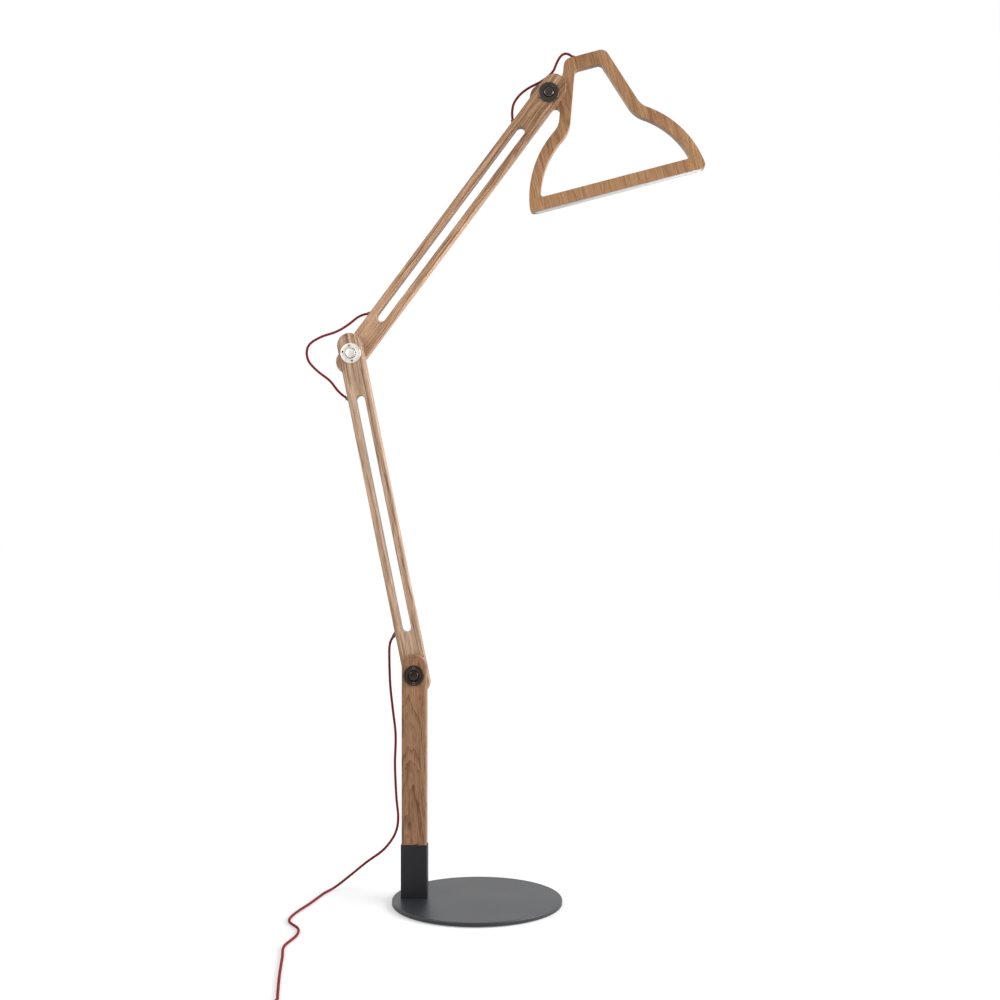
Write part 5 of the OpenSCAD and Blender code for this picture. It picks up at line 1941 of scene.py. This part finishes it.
@dataclass
class Pivot:
    """Hardware of one pivot, with the front board's face at y = 0 in its own frame."""

    name: str
    place: Matrix
    front: Body
    rear: Body
    metal: TurnedMetal
    slot: str
    screw: ScrewFinish
    cap_round: float
    pin: bool = False
    flange_d: float = 41.0
    flange_t: float = 3.0
    flange_screw_r: float = 15.4
    flange_screw_d: float = 3.0
    screw_bite: float = 12.0
    bolt_head_d: float = 19.5
    bolt_head_t: float = 3.0
    crown: float = 0.2
    groove_w: float = 1.3
    groove_t: float = 1.5
    sink_t: float = 2.2
    screw_fit: float = 0.1
    socket_across: float = 1.7
    socket_t: float = 1.6
    pin_x: float = -15.7
    pin_z: float = 6.0
    pin_d: float = 4.2
    spring_d: float = 24.0
    spring_h: float = 2.2
    spring_sheet: float = 1.0
    nut_d: float = 22.0
    nut_h: float = 9.0
    nut_end: float = 2.5

    def add(self, bm: bmesh.types.BMesh, piece: str, node: str, finish: Finish, slot: str, body: Body) -> None:
        """Finish one piece of the pivot, its name and its solid's name after the pivot's."""
        Piece.finish(bm, f"{self.name}_{piece}", finish, slot, [f"{self.name}_{node}"], body, self.place)

    def flange(self) -> None:
        """Round flange with a groove about the bolt's head and holes for its screws."""
        rim = self.flange_d / 2
        hole = SIZES.bolt_hole_d / 2
        t = self.flange_t
        inner = self.bolt_head_d / 2 - 0.1
        outer = self.bolt_head_d / 2 + self.groove_w
        floor = self.groove_t - t
        land = 1.6
        fall = 2 * self.crown * land / (rim - outer)
        profile = [(hole, 0), (rim, 0), (rim, self.crown - t), (rim - land, self.crown - fall - t),
                   (outer, -t - self.crown), (outer, floor), (inner, floor), (inner, -t), (hole, -t), (hole, 0)]
        bm = Shapes.turned(profile, {2: 0.9, 4: 0.15}, 96)
        cutter = bmesh.new()
        sunk = self.sink_t - t
        sinks = [(0, self.flange_screw_r, self.flange_screw_d), (0, -self.flange_screw_r, self.flange_screw_d)]
        if self.pin:
            sinks.append((self.pin_x, self.pin_z, self.pin_d / 2))
        for x, z, radius in sinks:
            sink = Shapes.turned([(0, -2 * t), (radius, -2 * t), (radius, sunk), (0, sunk)], steps=24)
            Shapes.join(cutter, sink, Matrix.Translation((x, 0, z)))
        bm = Shapes.bored(bm, cutter)

        def deep(spot: Vector) -> bool:
            """True on the floor of the groove and of the holes, where the metal gets painted shade."""
            return abs(spot.y - floor) < 0.01 or abs(spot.y - sunk) < 0.01

        Shapes.mark_painted_shade(bm, deep)
        self.add(bm, "flange_disc", "flange", self.metal, self.slot, self.front)

    def screws(self) -> None:
        """Countersunk screws with six-sided sockets, painted near black inside as shade."""
        bm = bmesh.new()
        head = self.flange_screw_d - self.screw_fit
        shank = self.flange_screw_d / 2
        face = self.screw_fit - self.flange_t
        for side in (-1, 1):
            at = Matrix.Translation((0, face, side * self.flange_screw_r))
            tip = self.flange_t + self.screw_bite
            rim = self.sink_t - 2 * self.screw_fit
            cone = Shapes.turned([
                (0, tip), (shank, tip - 2 * shank), (shank, rim), (head, rim), (head, 0),
            ], steps=32)
            Shapes.join(bm, cone, at)
            Shapes.join(bm, Shapes.socket_face(head, self.socket_across, self.socket_t, 0.0), at)
        # Painted shade on the socket floors, fading up the socket walls.
        Shapes.mark_painted_shade(bm, lambda spot: abs(spot.y - face - self.socket_t) < 0.01)
        self.add(bm, "screw_pair", "flange_screws", self.screw, "zinc_screws", self.front)

    def bolt(self) -> None:
        """Pivot bolt with a low round head."""
        front = -self.flange_t - self.bolt_head_t
        end = 2 * SIZES.board_t + SIZES.washer_t + self.spring_h + self.nut_h - self.nut_end - 0.5
        wide = self.bolt_head_d / 2
        shank = SIZES.bolt_d / 2
        profile = [
            (0, front - self.crown), (wide * 0.55, front - self.crown / 2), (wide, front + self.crown),
            (wide, -self.flange_t), (shank, -self.flange_t),
            (shank, end), (0, end),
        ]
        bm = Shapes.turned(profile, {2: self.cap_round, 5: 0.6}, segments=5)
        self.add(bm, "pivot_bolt", "bolt", self.metal, self.slot, self.front)

    def rear_stack(self) -> None:
        """Friction washer, disc spring and cap nut."""
        hole = SIZES.bolt_hole_d / 2
        wide = SIZES.washer_d / 2
        near, far = SIZES.board_t, SIZES.layer
        washer = [(hole, near), (wide, near), (wide, far), (hole, far), (hole, near)]
        self.add(Shapes.turned(washer, steps=96), "friction_washer", "washer", Finishes.fibre, "washer_fibre",
                 self.rear)
        face = 2 * SIZES.board_t + SIZES.washer_t
        seat = face + self.spring_h
        inside = seat - self.spring_sheet
        wide = self.spring_d / 2
        land = 1.2
        spring = [(hole, inside), (wide - land, face), (wide, face), (wide, face + self.spring_sheet),
                  (hole + land, seat), (hole, seat), (hole, inside)]
        self.add(Shapes.turned(spring), "disc_spring", "spring", Finishes.spring, "spring_steel", self.front)
        wide = self.nut_d / 2
        neck, ring, slant, flat = wide - 0.7, seat + 3.0, 0.4, 0.6
        end = seat + self.nut_h
        blind = end - self.nut_end
        nut = [(hole, seat), (wide, seat), (wide, ring), (neck, ring + slant), (neck, ring + slant + flat),
               (wide, ring + 2 * slant + flat), (wide, end), (0, end), (0, blind), (hole, blind), (hole, seat)]
        self.add(Shapes.turned(nut, {6: 1.9}), "cap_nut", "nut", self.metal, self.slot, self.front)
        Piece.keep(self.name + "_bush", Finishes.acetal)

    def build(self) -> None:
        """Build the whole pivot."""
        self.flange()
        self.screws()
        self.bolt()
        self.rear_stack()


class Outlets:
    """Ferrules and the relief where the cord enters the boards."""

    @staticmethod
    def ferrule(out: float, tip_wall: float) -> bmesh.types.BMesh:
        """A ferrule along its own Z.

        Args:
            out: Length outside the wood.
            tip_wall: Wall at the outer end.

        Returns:
            The shape.
        """
        inner = SIZES.ferrule_in_d / 2
        outer = SIZES.ferrule_out_d / 2
        depth = SIZES.ferrule_depth
        profile = [(inner, -depth), (outer, -depth), (outer, outer), (inner + tip_wall, out), (inner, out),
                   (inner, -depth)]
        bm = Shapes.turned(profile, {3: 0.4, 2: 0.5} if tip_wall > 1.0 else None, 40)
        bmesh.ops.transform(bm, matrix=UPRIGHT, verts=bm.verts[:])
        return bm

    def build(self) -> None:
        """Build the ferrules and the relief."""
        wall, relief_wall = 1.35, 0.6
        out, high_end = SIZES.ferrule_out, SIZES.arm_len - SIZES.outlet_at
        lower_high = Places.lower() @ Places.outlet(SIZES.lower_y, high_end, 1)
        lower_low = Places.lower() @ Places.outlet(SIZES.lower_y, SIZES.outlet_at, -1)
        ends = ((SIZES.outlet_at, -1), (high_end, 1))
        upper = [Places.upper() @ Places.outlet(SIZES.upper_y, z, towards) for z, towards in ends]
        rows = (
            ("lower_ferrule", "lower_arm_ferrule", Body.LOWER, out, wall, [lower_high]),
            ("lead_strain_relief", "lead_relief", Body.LOWER, SIZES.relief_out, relief_wall, [lower_low]),
            ("upper_ferrule_pair", "upper_arm_ferrules", Body.UPPER, out, wall, upper),
            ("head_cord_ferrule", "head_ferrule", Body.HEAD, out, wall, [Places.head() @ Places.inlet()]),
        )
        for name, node, body, length, tip_wall, places in rows:
            bm = bmesh.new()
            for place in places:
                Shapes.join(bm, self.ferrule(length, tip_wall), place)
            Piece.finish(bm, name, Finishes.brown, "brown_plastic", [node], body)


def pivots() -> List[Pivot]:
    """The three pivots with their own metals."""
    made = []
    dark = Finishes.dark_screw
    bright = Finishes.bright_screw
    rows = (
        ("shoulder", Places.at_shoulder(), Body.BASE, Body.LOWER, (0.062, 0.049, 0.04), "dark_chrome", 0.15,
         dark, 2.0),
        ("elbow", Places.at_elbow(), Body.LOWER, Body.UPPER, (0.93, 0.86, 0.8), "chrome", 0.41, bright, 0.7),
        ("head", Places.at_tilt(), Body.UPPER, Body.HEAD, (0.125, 0.106, 0.09), "dark_chrome", 0.17, dark, 2.0),
    )
    for name, place, front, rear, colour, slot, rough, screw, cap_round in rows:
        metal = TurnedMetal(name + "_metal", colour, tuple(place.translation * MM), rough)
        made.append(Pivot(name, place, front, rear, metal, slot, screw, cap_round, pin=name == "elbow"))
    return made


def write_sizes() -> None:
    """Work out the solids' box and the dressed lamp's box as lists of plain numbers."""
    boxes = {"cad": CAD_BOX, "visual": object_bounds()}
    plain = {name: [[float(x) for x in corner] for corner in box] for name, box in boxes.items()}


def main() -> None:
    """Build the studio and the lamp, piece by piece."""
    logging.basicConfig(level=logging.INFO, format="%(name)s: %(message)s")
    Studio().build()
    floor_set = FloorSet()
    cords = Cords(floor_set)
    switch = floor_set.switch()
    way_out = switch.pop("switch_relief_out")
    cords.floor_lead(list(switch.values()))
    cords.put_away(floor_set.plug() + [floor_set.tie(), way_out])
    cords.loops()
    BaseStand().build()
    Arm("lower_arm", "lower_arm_board", Body.LOWER, Places.lower(), SIZES.lower_y, Finishes.lower_wood).build()
    Arm("upper_arm", "upper_arm_board", Body.UPPER, Places.upper(), SIZES.upper_y, Finishes.upper_wood).build()
    LightHead().build()
    for pivot in pivots():
        pivot.build()
    Outlets().build()
    write_sizes()


if __name__ == "__main__":
    main()
